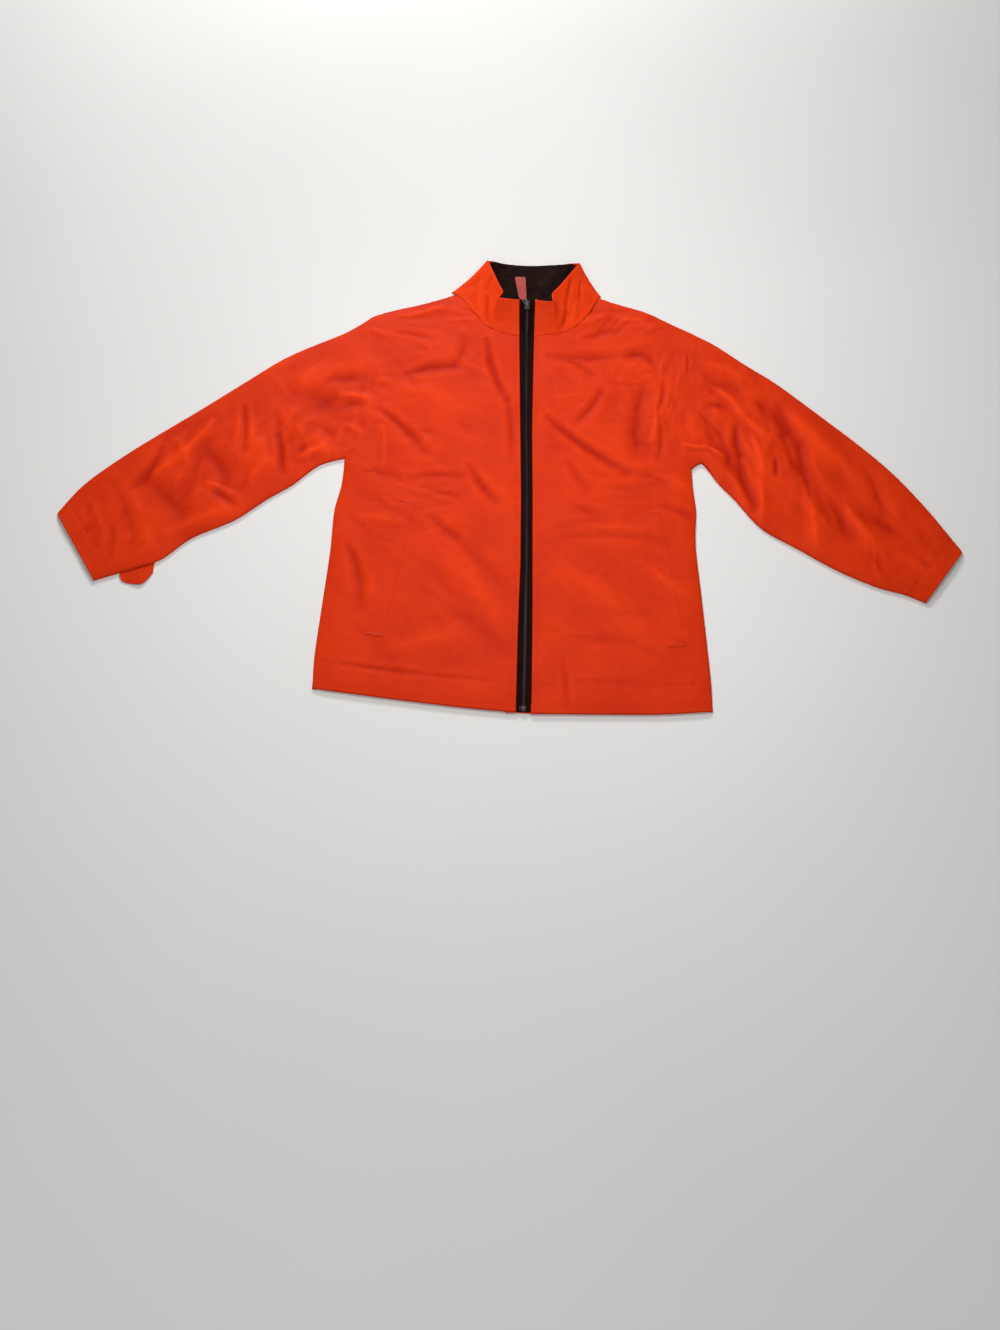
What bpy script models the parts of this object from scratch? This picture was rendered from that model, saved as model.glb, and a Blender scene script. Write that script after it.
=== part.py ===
"""All weather jacket laid flat on its back, zip closed to the top of the stand collar.

Each cut piece is a thin wall of cloth. The back is flat on the surface, the fronts and the
sleeves' upper layers lie on it, and the collar stands a little open. +X is the right of the
view, +Y runs from hem to collar, +Z is up. Left and right are those of the view.
Tables are in millimetres on the plan of the laid-out jacket; everything else is in metres.
"""

import bisect
import math

import bpy
from mathutils import Vector
from mathutils.bvhtree import BVHTree

MM = 0.001

# Cloth and seams
WALL = 0.0016
SEAM = 0.0003
COLLAR_SEAM = 0.0006
CORNER_EASE = 0.0010
LINING = 0.0010
LINING_GAP = 0.0005
TAPE, TAPE_GAP = 0.0008, 0.0006

# How high the upper layer lies: at a folded edge, in the middle, at the hem and at the zip
EDGE_HEIGHT = 2 * WALL + SEAM
MIDDLE_HEIGHT = 0.0070
HEM_HEIGHT = 0.0054
ZIP_HEIGHT = 0.0066
EDGE_ROLL = 0.026
HEM_ROLL = 0.018
NECK_RISE, ZIP_NECK_RISE = 0.0018, 0.0012
NECK_REACH = 0.060
ZIP_REACH = 0.030

# How much of a fold is left at its ends and at the hem, and how far out it is felt
FOLD_AT_ENDS, FOLD_AT_HEM, FOLD_REACH = 0.45, 0.30, 3

# The zip: the tapes' hidden edges, the row of teeth, and the shallow waves it lies in
TAPE_UNDER_EDGE = 0.005
TEETH_WIDTH = 0.0052
TEETH_HEIGHT = 0.0024
WAVE_LENGTH = 0.118
WAVE_RISE = 0.0009
WAVE_CREST_Y = 0.006

# Slider and pull tab
SLIDER_WIDTH, SLIDER_LENGTH, SLIDER_HEIGHT = 0.0105, 0.0150, 0.0042
BRIDGE_WIDTH, BRIDGE_LENGTH, BRIDGE_BAR = 0.0026, 0.0090, 0.0014
BRIDGE_INSIDE = 0.0030
BRIDGE_SINK = 0.0004
PULL_LENGTH, PULL_THICKNESS, PULL_CORNER = 0.047, 0.0016, 0.003
PULL_LOW_WIDTH, PULL_TOP_WIDTH = 0.0130, 0.0184
PULL_SHIFT, PULL_LEAN = 0.0060, 0.13
PULL_ARM, PULL_AXLE, PULL_CLEAR = 0.0022, 0.0007, 0.0005
PULL_ARM_END, PULL_EYE_END, PULL_NECK, PULL_TAB_START = 0.0065, 0.0075, 0.0085, 0.0125
CUTTER_HEIGHT = 0.01
SLIDER_FROM_TOP = 0.0095

# The box at the hem: width, length and height, its rounding, and how far it is from hem and tape
ZIP_BOX = (0.0076, 0.0075, 0.0018)
ZIP_BOX_ROUNDING, ZIP_BOX_FROM_HEM = 0.0005, 0.0045
ZIP_BOX_OVER_TAPE, ZIP_BOX_SINK = 0.0012, 0.0006

# Pocket welts and the tab at the left cuff
WELT_WIDTH, WELT_THICKNESS = 0.026, 0.0010
WELT_ROWS, WELT_COLUMNS = 24, 4
OVER_ALL = 0.05
TAB_THICKNESS = 0.0016
TAB_PAST_CUFF_SIDE, TAB_PAST_ELBOW_SIDE = 0.012, 0.008

# The middle of the outline, which becomes the origin, and places that the seams curve towards
MIDDLE = (8.0, 55.8)
CHEST, BELLY, OVER_COLLAR, BELOW_CUFF = (40, 200), (40, 0), (45, 700), (-500, -400)
BEYOND_CUFF = {"left": (-600, 100), "right": (700, 100)}

# y where the neck seam starts at the zip, and where the body's rows change at the underarm
NECK_START, UNDERARM = 308, 80
# y below which the cloth beside the zip follows the zip's height
ZIP_LEVEL_END = 312

# Zip edges of the two fronts, hem to neck seam:            y, x left, x right
ZIP_EDGES = [
    (-352, 21, 45),
    (-250, 25, 47),
    (-120, 31, 49),
    (0, 33, 51),
    (120, 33, 52),
    (308, 33, 58),
]

# Neck seam of each front, from the zip to the shoulder:     x, y
NECK = {
    "left": [(33, 308), (-14, 324), (-43, 356), (-76, 404)],
    "right": [(58, 308), (110, 317), (146, 345), (173, 396)],
}
BACK_NECK = [(-76, 404), (-20, 388), (46, 382), (118, 386), (173, 396)]

# Lower edge of the dark facing inside the back, and its distance from the neck seam
FACING_EDGE = [(-50, 378), (-10, 345), (46, 332), (108, 343), (148, 372)]
FACING_INSET = 0.003

# Side seam of the body, from the hem to the underarm:       x, y
SIDE = {
    "left": [
        (-265, -317), (-266, -267), (-262, -190), (-257, -100),
        (-256, -30), (-248, 20), (-247, 68),
    ],
    "right": [
        (297, -351), (299, -298), (298, -173), (297, -90),
        (303, -30), (302, 10), (303, 46),
    ],
}

# Armhole seam, from the underarm to the shoulder point:     x, y
ARMHOLE = {
    "left": [
        (-247, 68), (-225, 79), (-206, 102), (-198, 138),
        (-199, 182), (-204, 241), (-212, 304), (-223, 352),
    ],
    "right": [
        (303, 46), (283, 60), (270, 88), (270, 130),
        (287, 180), (310, 225), (325, 268), (332, 315),
    ],
}

# Shoulder line, from the neck to the shoulder point:        x, y
SHOULDER = {
    "left": [(-76, 404), (-129, 384), (-174, 371), (-204, 361), (-223, 352)],
    "right": [(173, 396), (199, 384), (251, 364), (294, 338), (332, 315)],
}

# Sleeve sections from shoulder to cuff:        upper edge x, y; lower edge x, y
SLEEVE = {
    "left": [
        (-223, 352, -247, 68),
        (-264, 320, -288, 54),
        (-323, 289, -327, 18),
        (-371, 259, -364, -8),
        (-432, 209, -410, -45),
        (-491, 160, -470, -78),
        (-550, 113, -512, -113),
        (-606, 66, -548, -127),
        (-655, 17, -585, -142),
        (-686, -34, -603, -149),
    ],
    "right": [
        (332, 315, 303, 46),
        (364, 294, 324, 57),
        (412, 252, 343, 22),
        (462, 210, 367, -10),
        (520, 151, 402, -60),
        (577, 91, 454, -96),
        (623, 36, 508, -132),
        (662, -25, 562, -159),
        (687, -72, 600, -171),
        (702, -101, 630, -185),
    ],
}

# Hem of each front, from the zip to the side:               x, y
HEM = {
    "left": [(21, -352), (-52, -345), (-156, -332), (-265, -317)],
    "right": [(45, -354), (140, -355), (224, -355), (297, -351)],
}

# Top edge of the collar's fronts, from the zip to the corner:     x, y, height
COLLAR_TOP = {
    "left": [
        (33, 364, 38), (12, 366, 39), (-3, 369, 40), (4, 381, 37),
        (-3, 405, 35), (-13, 433, 35), (-21, 454, 35),
    ],
    "right": [
        (60, 364, 38), (79, 360, 39), (94, 357, 40), (88, 374, 37),
        (106, 402, 35), (124, 428, 35), (137, 447, 35),
    ],
}
# The corner's fold, from front to back:         seam height; top x, y, height
COLLAR_FOLD = {
    "left": [(6.0, -21, 456, 34), (3.2, -22, 460, 30), (0.6, -15, 464, 24)],
    "right": [(6.0, 138, 449, 34), (3.2, 139, 454, 30), (0.6, 132, 459, 24)],
}
# Top edge of the collar's back, from left to right:               x, y, height
COLLAR_TOP_BACK = [
    (-15, 464, 24), (6, 465, 15), (30, 466, 9), (58, 467, 6),
    (88, 466, 9), (112, 463, 15), (132, 459, 24),
]
# Where the corner's three folds meet the seam: shares of a step along it, and the middle one's reach
CORNER_BEFORE, CORNER_AFTER = 0.15, 0.12
CORNER_OUT, CORNER_BACK = 0.0015, 0.0030
# The band rises slowly from the seam and faster towards its top edge
COLLAR_RISE_POWER = 1.3

# Largest folds of the cloth:   start x, y; end x, y; half width; rise (a trough is below zero)
FOLDS = [
    (-196, 158, -120, 75, 11, -3.0),
    (-48, 49, -5, -17, 10, -2.6),
    (-103, -47, -30, -121, 14, -2.2),
    (-22, 302, 12, 178, 10, -2.4),
    (-179, 235, -68, 296, 15, -2.4),
    (-173, 355, -104, 372, 10, 2.4),
    (-102, -90, 0, -218, 22, 2.2),
    (-231, -94, -206, -193, 11, -2.2),
    (-149, 198, -74, 168, 40, 2.0),
    (78, 142, 201, 38, 11, -3.2),
    (118, 256, 155, 225, 9, -2.0),
    (169, 198, 125, 133, 10, -2.2),
    (84, 266, 246, 268, 14, -2.6),
    (237, 198, 220, 75, 16, -2.6),
    (90, -133, 204, -222, 32, 2.0),
    (-420, 164, -410, 81, 9, -2.8),
    (-358, 109, -346, 39, 9, -2.8),
    (-544, 81, -572, 12, 11, -2.4),
    (-468, 134, -542, 39, 11, 3.0),
    (-482, 62, -498, -12, 16, -2.4),
    (-283, 218, -225, 218, 12, -2.6),
    (-264, 186, -211, 178, 9, 2.4),
    (-319, 66, -285, 81, 10, 2.4),
    (-505, -70, -411, -26, 14, 1.8),
    (297, 90, 357, 70, 8, 3.0),
    (384, 125, 396, -24, 10, -3.0),
    (364, 194, 392, 154, 10, 2.6),
    (392, 154, 435, 102, 10, 2.6),
    (459, 164, 481, 6, 11, -2.6),
    (420, 178, 432, 144, 12, -2.4),
    (579, 43, 590, -38, 10, -2.4),
    (541, -38, 565, -94, 14, 2.4),
    (480, 3, 481, -94, 13, 2.4),
    (514, -12, 527, -73, 12, -2.0),
    (352, 49, 381, -12, 11, 2.0),
]

# Pocket openings:                upper end x, y; lower end x, y
POCKETS = {
    "left": (-145, -12, -183, -239),
    "right": (234, -31, 254, -256),
}

# Free edge of the strap end that shows under the left cuff, from cuff to elbow:  x, y
CUFF_TAB = [(-576, -148), (-566, -153), (-550, -157), (-534, -153), (-524, -137)]

# Mesh steps
SIDE_ROWS, ARMHOLE_ROWS, NECK_ROWS = 18, 9, 7
ARM_STEPS = ARMHOLE_ROWS + NECK_ROWS
FRONT_COLUMNS = 15
HEM_FADE_ROWS = 4
SLEEVE_ROWS = 22
ARM_FADE, ARM_FADE_POWER = 8, 1.6
FOLD_INSET = 0.0045
COLLAR_STEPS, BACK_COLLAR_STEPS = 6, 12
ZIP_STEPS = 44

# Colours, linear
ORANGE = (0.66, 0.040, 0.010)
BLACK = (0.012, 0.011, 0.011)
DARK_LINING = (0.020, 0.016, 0.013)
STEEL = (0.30, 0.30, 0.30)
SALMON = (0.55, 0.11, 0.10)


def clear_scene():
    for old in list(bpy.data.objects):
        bpy.data.objects.remove(old, do_unlink=True)


def new_material(name, colour, roughness, metallic):
    material = bpy.data.materials.new(name)
    material.use_nodes = True
    shader = material.node_tree.nodes["Principled BSDF"]
    shader.inputs["Base Color"].default_value = (*colour, 1.0)
    shader.inputs["Roughness"].default_value = roughness
    shader.inputs["Metallic"].default_value = metallic
    return material


def to_plan(x, y):
    return Vector(((x - MIDDLE[0]) * MM, (y - MIDDLE[1]) * MM))


def plan_points(rows):
    return [to_plan(x, y) for x, y in rows]


def smooth_curve(points, count):
    """count + 1 points, evenly spaced along a smooth curve through the points."""
    dense = []
    last = len(points) - 1
    for i in range(last):
        before, after = points[max(i - 1, 0)], points[min(i + 2, last)]
        start, end = points[i], points[i + 1]
        leave, arrive = (end - before) / 2, (after - start) / 2
        for k in range(12):
            t = k / 12
            dense.append(
                start * (2 * t**3 - 3 * t**2 + 1)
                + leave * (t**3 - 2 * t**2 + t)
                + end * (3 * t**2 - 2 * t**3)
                + arrive * (t**3 - t**2)
            )
    dense.append(points[last].copy())
    return even_points(dense, count)


def even_points(dense, count):
    """count + 1 points, evenly spaced along the straight pieces between the given ones."""
    reached = [0.0]
    for a, b in zip(dense, dense[1:]):
        reached.append(reached[-1] + (b - a).length)
    result = []
    for k in range(count + 1):
        want = reached[-1] * k / count
        i = min(max(bisect.bisect_right(reached, want) - 1, 0), len(dense) - 2)
        part = (want - reached[i]) / max(reached[i + 1] - reached[i], 1e-12)
        result.append(dense[i].lerp(dense[i + 1], min(part, 1.0)))
    return result


def sleeve_edge(side, column):
    rows = SLEEVE[side]
    return smooth_curve([to_plan(row[column], row[column + 1]) for row in rows], SLEEVE_ROWS)


def near_segment(point, start, end):
    """Distance from the point to the segment, and how far along it the nearest point lies."""
    along = end - start
    t = max(0.0, min(1.0, (point - start).dot(along) / along.length_squared))
    return (point - start - along * t).length, t


def near_line(point, line):
    return min(near_segment(point, a, b)[0] for a, b in zip(line, line[1:]))


def build_outline():
    """The folded edges of the laid-out jacket, which roll down to the surface."""
    lines = []
    for side in ("left", "right"):
        lines.append(smooth_curve(plan_points(SIDE[side]), 12))
        lines.append(smooth_curve(plan_points(SHOULDER[side]), 8))
        lines.append(sleeve_edge(side, 0))
        lines.append(sleeve_edge(side, 2))
    return lines


def zip_edge(y, column):
    """x of the fronts' left (1) or right (2) zip edge at this y, in metres."""
    rows = ZIP_EDGES
    want = y / MM + MIDDLE[1]
    i = max(i for i in range(len(rows) - 1) if i == 0 or rows[i][0] <= want)
    share = (want - rows[i][0]) / (rows[i + 1][0] - rows[i][0])
    share = max(0.0, min(1.0, share))
    x = rows[i][column] + (rows[i + 1][column] - rows[i][column]) * share
    return (x - MIDDLE[0]) * MM


def smooth_step(value):
    value = max(0.0, min(1.0, value))
    return value * value * (3 - 2 * value)


def zip_height(y):
    """The zip lies in shallow waves; the neck seam is a little higher than the hem."""
    wave = WAVE_RISE * math.cos(2 * math.pi * (y - WAVE_CREST_Y) / WAVE_LENGTH)
    neck = to_plan(0, NECK_START).y
    return ZIP_HEIGHT + wave + ZIP_NECK_RISE * smooth_step(1 - (neck - y) / NECK_REACH)


def fold_height(point):
    total = 0.0
    for x0, y0, x1, y1, half_width, rise in FOLDS:
        away, along = near_segment(point, to_plan(x0, y0), to_plan(x1, y1))
        if away < FOLD_REACH * half_width * MM:
            taper = FOLD_AT_ENDS + (1 - FOLD_AT_ENDS) * math.sin(math.pi * along)
            total += rise * MM * taper * math.exp(-((away / (half_width * MM)) ** 2))
    return total


def cloth_height(point):
    """Height of the upper layer's outer face over the surface that the jacket lies on."""
    roll = min(near_line(point, line) for line in OUTLINE) / EDGE_ROLL
    arch = math.sqrt(1 - (1 - min(roll, 1.0)) ** 2)
    hem = min(near_line(point, line) for line in HEM_LINES) / HEM_ROLL
    full = HEM_HEIGHT + (MIDDLE_HEIGHT - HEM_HEIGHT) * smooth_step(hem)
    neck = min(near_line(point, line) for line in NECK_LINES)
    full += NECK_RISE * smooth_step(1 - neck / NECK_REACH)
    height = EDGE_HEIGHT + (full - EDGE_HEIGHT) * arch
    at_hem = FOLD_AT_HEM + (1 - FOLD_AT_HEM) * smooth_step(hem)
    height += fold_height(point) * arch * at_hem
    away = min(abs(point.x - zip_edge(point.y, 1)), abs(point.x - zip_edge(point.y, 2)))
    beside = smooth_step(away / ZIP_REACH)
    if point.y < to_plan(0, ZIP_LEVEL_END).y:
        height = zip_height(point.y) * (1 - beside) + height * beside
    return max(height, EDGE_HEIGHT)


def place(name, material, points, faces, smooth=True):
    mesh = bpy.data.meshes.new(name)
    mesh.from_pydata([tuple(p) for p in points], [], faces)
    mesh.validate()
    mesh.materials.append(material)
    obj = bpy.data.objects.new(name, mesh)
    JACKET.objects.link(obj)
    if smooth:
        mesh.shade_smooth()
        mesh.set_sharp_from_angle(angle=math.radians(50))
    return obj


def sheet(name, material, rows, thickness, closed=False):
    """A wall of cloth: a grid of points on its outer face, made solid inwards."""
    columns = len(rows[0])
    points = [p for row in rows for p in row]
    faces = []
    for i in range(len(rows) - 1):
        for j in range(columns if closed else columns - 1):
            k = (j + 1) % columns
            low, high = i * columns, (i + 1) * columns
            faces.append((low + j, low + k, high + k, high + j))
    obj = place(name, material, points, faces)
    wall = obj.modifiers.new("wall", "SOLIDIFY")
    wall.thickness = thickness
    wall.offset = -1
    wall.use_even_offset = True
    wall.use_quality_normals = True
    return obj


def flat_piece(name, material, outline, low, high):
    """A piece cut from flat cloth that lies on the surface."""
    count = len(outline)
    points = [(p.x, p.y, low) for p in outline] + [(p.x, p.y, high) for p in outline]
    faces = [tuple(reversed(range(count))), tuple(range(count, 2 * count))]
    for i in range(count):
        j = (i + 1) % count
        faces.append((i, j, count + j, count + i))
    return place(name, material, points, faces, smooth=False)


def drawn_in(line, towards, distance):
    """The line moved sideways, to the side that the point lies on."""
    moved = []
    for i, point in enumerate(line):
        along = line[min(i + 1, len(line) - 1)] - line[max(i - 1, 0)]
        side = Vector((-along.y, along.x)).normalized()
        if side.dot(towards - point) < 0:
            side.negate()
        moved.append(point + side * distance)
    return moved


def armhole(side, steps):
    return smooth_curve(plan_points(ARMHOLE[side]), steps)


def body_armhole(side, every):
    """The body's armhole edge, a seam's gap inside the sleeve's; its shoulder corner is eased."""
    middle = to_plan(*CHEST)
    line = drawn_in(armhole(side, ARM_STEPS)[::every], middle, SEAM)
    line[-1] = line[-1] + (middle - line[-1]).normalized() * CORNER_EASE
    return line


def front_edges(side):
    """Inner edge (zip, then neck seam) and outer edge (side seam, then armhole), row by row."""
    column = 1 if side == "left" else 2
    stations = []
    for level in (HEM[side][0][1], UNDERARM, NECK_START):
        y = to_plan(0, level).y
        stations.append(Vector((zip_edge(y, column), y)))
    low = even_points([stations[0], stations[1]], SIDE_ROWS)
    low = [Vector((zip_edge(p.y, column), p.y)) for p in low]
    high = even_points([stations[1], stations[2]], ARMHOLE_ROWS)
    high = [Vector((zip_edge(p.y, column), p.y)) for p in high]
    neck = smooth_curve(plan_points(NECK[side]), NECK_ROWS)
    inner = low + high[1:] + neck[1:]
    seam = smooth_curve(plan_points(SIDE[side]), SIDE_ROWS)
    outer = seam + body_armhole(side, 1)[1:]
    underarm = outer[SIDE_ROWS]
    outer[SIDE_ROWS] = underarm + (to_plan(*BELLY) - underarm).normalized() * SEAM
    return inner, outer


def make_front(side):
    inner, outer = front_edges(side)
    hem = smooth_curve(plan_points(HEM[side]), FRONT_COLUMNS)
    rows = []
    for i, (start, end) in enumerate(zip(inner, outer)):
        fade = max(0.0, 1 - i / HEM_FADE_ROWS)
        row = []
        for j in range(FRONT_COLUMNS + 1):
            share = j / FRONT_COLUMNS
            point = start.lerp(end, share)
            point += (hem[j] - inner[0].lerp(outer[0], share)) * fade
            row.append(Vector((point.x, point.y, cloth_height(point))))
        rows.append(row if side == "right" else row[::-1])
    return sheet("front_" + side, CLOTH, rows, WALL)


def make_back():
    outline = []
    outline += smooth_curve(plan_points(HEM["left"]), 6)[::-1]
    outline += smooth_curve(plan_points(HEM["right"]), 6)
    outline += smooth_curve(plan_points(SIDE["right"]), 10)[1:-1]
    outline += body_armhole("right", 2)
    outline += smooth_curve(plan_points(SHOULDER["right"]), 6)[::-1][1:]
    outline += smooth_curve(plan_points(BACK_NECK), 12)[::-1][1:]
    outline += smooth_curve(plan_points(SHOULDER["left"]), 6)[1:-1]
    outline += body_armhole("left", 2)[::-1]
    outline += smooth_curve(plan_points(SIDE["left"]), 10)[::-1][1:-1]
    return flat_piece("back", CLOTH, outline, 0.0, WALL)


def make_sleeve(side):
    """A flattened tube: each ring runs over the top to the lower edge and back below."""
    upper, lower = sleeve_edge(side, 0), sleeve_edge(side, 2)
    far = to_plan(*BEYOND_CUFF[side])
    arm = drawn_in(armhole(side, ARM_STEPS)[::-1], far, SEAM)
    coarse = drawn_in(armhole(side, ARM_STEPS)[::-2], far, SEAM)

    def across(line, i, share):
        """A point of section i: the armhole's curve fades into a straight section."""
        k = min(int(share * (len(line) - 1)), len(line) - 2)
        curved = line[k].lerp(line[k + 1], share * (len(line) - 1) - k)
        straight = line[0].lerp(line[-1], share)
        bow = max(0.0, 1 - i / ARM_FADE) ** ARM_FADE_POWER
        return upper[i].lerp(lower[i], share) + (curved - straight) * bow

    rows = []
    for i in range(SLEEVE_ROWS + 1):
        inset = FOLD_INSET / (lower[i] - upper[i]).length
        over = [inset] + [k / ARM_STEPS for k in range(1, ARM_STEPS)] + [1 - inset]
        under = [1 - inset] + [k / ARM_STEPS for k in range(ARM_STEPS - 2, 1, -2)] + [inset]
        ring = [Vector((*across(arm, i, 0.0), EDGE_HEIGHT / 2))]
        for share in over:
            point = across(arm, i, share)
            ring.append(Vector((*point, cloth_height(point))))
        ring.append(Vector((*across(arm, i, 1.0), EDGE_HEIGHT / 2)))
        ring += [Vector((*across(coarse, i, share), 0.0)) for share in under]
        rows.append(ring if side == "right" else ring[::-1])
    return sheet("sleeve_" + side, CLOTH, rows, WALL, closed=True)


def collar_stations():
    """(seam point, top point) of the outer face, from the zip's left edge round to its right."""
    halves = {}
    beyond = to_plan(*OVER_COLLAR)
    back_seam = drawn_in(smooth_curve(plan_points(BACK_NECK), BACK_COLLAR_STEPS), beyond, COLLAR_SEAM)
    back_top = smooth_curve([space_point(*row) for row in COLLAR_TOP_BACK], BACK_COLLAR_STEPS)
    for side in ("left", "right"):
        seam = smooth_curve(plan_points(NECK[side]), NECK_ROWS)
        inside = drawn_in(seam, beyond, COLLAR_SEAM)
        top = smooth_curve([space_point(*row) for row in COLLAR_TOP[side]], NECK_ROWS)
        half = []
        for k in range(NECK_ROWS):
            height = cloth_height(seam[k]) if k else zip_height(seam[k].y)
            half.append((Vector((*inside[k], height)), top[k]))
        outward = -1 if side == "left" else 1
        back_end = back_seam[0] if side == "left" else back_seam[-1]
        next_back = back_seam[1] if side == "left" else back_seam[-2]
        corners = (
            inside[-1].lerp(inside[-2], CORNER_BEFORE),
            seam[-1] + Vector((outward * CORNER_OUT, CORNER_BACK)),
            back_end.lerp(next_back, CORNER_AFTER),
        )
        for corner, (height, *top_row) in zip(corners, COLLAR_FOLD[side]):
            half.append((Vector((*corner, height * MM)), space_point(*top_row)))
        halves[side] = half
    back = [(Vector((*p, 0.0)), t) for p, t in zip(back_seam[1:-1], back_top[1:-1])]
    return halves["left"] + back + halves["right"][::-1]


def space_point(x, y, z):
    return Vector((*to_plan(x, y), z * MM))


def collar_point(station, share):
    """A point of the collar's outer face; the share runs from the neck seam to the top edge."""
    base, top = station
    point = base.lerp(top, share)
    point.z -= max(0.0, (top.z - base.z) * (share - share**COLLAR_RISE_POWER))
    return point


def collar_rows():
    stations = collar_stations()
    return [[collar_point(s, k / COLLAR_STEPS) for s in stations] for k in range(COLLAR_STEPS + 1)]


def grid_normals(rows):
    """Unit normals of a grid of points, and how much an even wall there has to be widened."""
    count, columns = len(rows), len(rows[0])
    normals = []
    for i in range(count):
        line = []
        for j in range(columns):
            around = []
            for di, dj in ((1, 1), (1, -1), (-1, -1), (-1, 1)):
                if 0 <= i + di < count and 0 <= j + dj < columns:
                    a = rows[i][j + dj] - rows[i][j]
                    b = rows[i + di][j] - rows[i][j]
                    around.append(a.cross(b).normalized() * (di * dj))
            mean = sum(around, Vector((0, 0, 0))).normalized()
            spread = sum(mean.dot(n) for n in around) / len(around)
            line.append((mean, 1 / max(spread, 0.6)))
        normals.append(line)
    return normals


def moved_in(rows, distance):
    normals = grid_normals(rows)
    moved = []
    for row, line in zip(rows, normals):
        moved.append([p - n * (distance * widen) for p, (n, widen) in zip(row, line)])
    return moved


def make_collar():
    rows = collar_rows()
    sheet("collar_outer", CLOTH, [row[::-1] for row in rows], WALL)
    inside = moved_in([row[::-1] for row in rows], WALL + LINING_GAP)
    clear_of_zip = [row[1:-1] for row in inside]
    sheet("collar_lining", INNER, clear_of_zip, LINING)


def zip_path():
    """Points of the zip's middle line on the cloth's outer face, hem to collar, with half widths."""
    hem_y, seam_y = to_plan(0, HEM["left"][0][1]).y, to_plan(0, NECK_START).y
    path = []
    flat_steps = ZIP_STEPS - COLLAR_STEPS
    for k in range(flat_steps + 1):
        y = hem_y + (seam_y - hem_y) * k / flat_steps
        left, right = zip_edge(y, 1), zip_edge(y, 2)
        path.append((Vector(((left + right) / 2, y, zip_height(y))), (right - left) / 2))
    stations = collar_stations()
    for k in range(1, COLLAR_STEPS + 1):
        left = collar_point(stations[0], k / COLLAR_STEPS)
        right = collar_point(stations[-1], k / COLLAR_STEPS)
        path.append(((left + right) / 2, (right - left).x / 2))
    return path


def zip_frames():
    """Each point of the zip's path with its half width and the direction out of the cloth."""
    path = zip_path()
    frames = []
    for i, (point, half) in enumerate(path):
        along = path[min(i + 1, len(path) - 1)][0] - path[max(i - 1, 0)][0]
        out = Vector((0, -along.z, along.y)).normalized()
        frames.append((point, half, out))
    return frames


def strip(frames, left, right, top):
    """Rows of a strip along the zip; left and right give x from the middle for a half width."""
    rows = []
    for point, half, out in frames:
        start = point + Vector((left(half), 0, 0)) + out * top
        end = point + Vector((right(half), 0, 0)) + out * top
        rows.append([start, end])
    return rows


def make_zip():
    frames = zip_frames()
    tape_top = -(WALL + TAPE_GAP)
    reach = TAPE_UNDER_EDGE
    inner = TEETH_WIDTH / 2 + SEAM
    for side, sign in (("left", -1), ("right", 1)):
        edges = [lambda half: sign * (half + reach), lambda half: sign * inner]
        if sign > 0:
            edges.reverse()
        rows = strip(frames, edges[0], edges[1], tape_top)
        sheet("zip_tape_" + side, TAPE_CLOTH, rows, TAPE)
    teeth_top = tape_top - TAPE + TEETH_HEIGHT
    half_teeth = TEETH_WIDTH / 2
    rows = strip(frames[1:-1], lambda half: -half_teeth, lambda half: half_teeth, teeth_top)
    sheet("zip_teeth", TEETH, rows, TEETH_HEIGHT)


def box(name, material, centre, sizes, tilt=0.0, bevel=0.0):
    bpy.ops.mesh.primitive_cube_add(size=1, location=(0, 0, 0))
    obj = bpy.context.active_object
    obj.name = name
    obj.data.name = name
    for vertex in obj.data.vertices:
        vertex.co = Vector((vertex.co.x * sizes[0], vertex.co.y * sizes[1], vertex.co.z * sizes[2]))
    for collection in list(obj.users_collection):
        collection.objects.unlink(obj)
    JACKET.objects.link(obj)
    obj.location = centre
    obj.rotation_euler = (tilt, 0, 0)
    obj.data.materials.append(material)
    if bevel:
        rounding = obj.modifiers.new("rounding", "BEVEL")
        rounding.width = bevel
        rounding.segments = 2
    return obj


def cut_or_join(obj, other, operation):
    modifier = obj.modifiers.new(operation.lower(), "BOOLEAN")
    modifier.operation = operation
    modifier.object = other
    modifier.solver = "EXACT"
    for collection in list(other.users_collection):
        collection.objects.unlink(other)
    CUTTERS.objects.link(other)
    other.hide_render = True
    other.display_type = "WIRE"


def slider_frame():
    """Middle of the slider's underside, the direction up the zip, and the direction out."""
    frames = zip_frames()
    top = frames[-1][0]
    below = frames[-2][0]
    up = (top - below).normalized()
    out = Vector((0, -up.z, up.y)).normalized()
    face = -(WALL + TAPE_GAP) - TAPE + TEETH_HEIGHT
    return top - up * SLIDER_FROM_TOP + out * (face + 2 * SEAM), up, out


def make_slider():
    """Body over the teeth, with the bridge that carries the pull; its tunnel runs across the zip."""
    middle, up, out = slider_frame()
    tilt = math.atan2(up.z, up.y)
    body = box(
        "zip_slider",
        STEEL_FINISH,
        middle + out * (SLIDER_HEIGHT / 2),
        (SLIDER_WIDTH, SLIDER_LENGTH, SLIDER_HEIGHT),
        tilt,
    )
    bridge_height = BRIDGE_INSIDE + BRIDGE_BAR
    bridge = box(
        "bridge_block",
        STEEL_FINISH,
        middle + out * (SLIDER_HEIGHT + bridge_height / 2 - BRIDGE_SINK),
        (BRIDGE_WIDTH, BRIDGE_LENGTH, bridge_height + 2 * BRIDGE_SINK),
        tilt,
    )
    tunnel = box(
        "bridge_tunnel",
        STEEL_FINISH,
        middle + out * (SLIDER_HEIGHT + BRIDGE_INSIDE / 2),
        (BRIDGE_WIDTH * 2, BRIDGE_LENGTH - 2 * BRIDGE_BAR, BRIDGE_INSIDE),
        tilt,
    )
    cut_or_join(body, bridge, "UNION")
    cut_or_join(body, tunnel, "DIFFERENCE")
    return body


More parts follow.
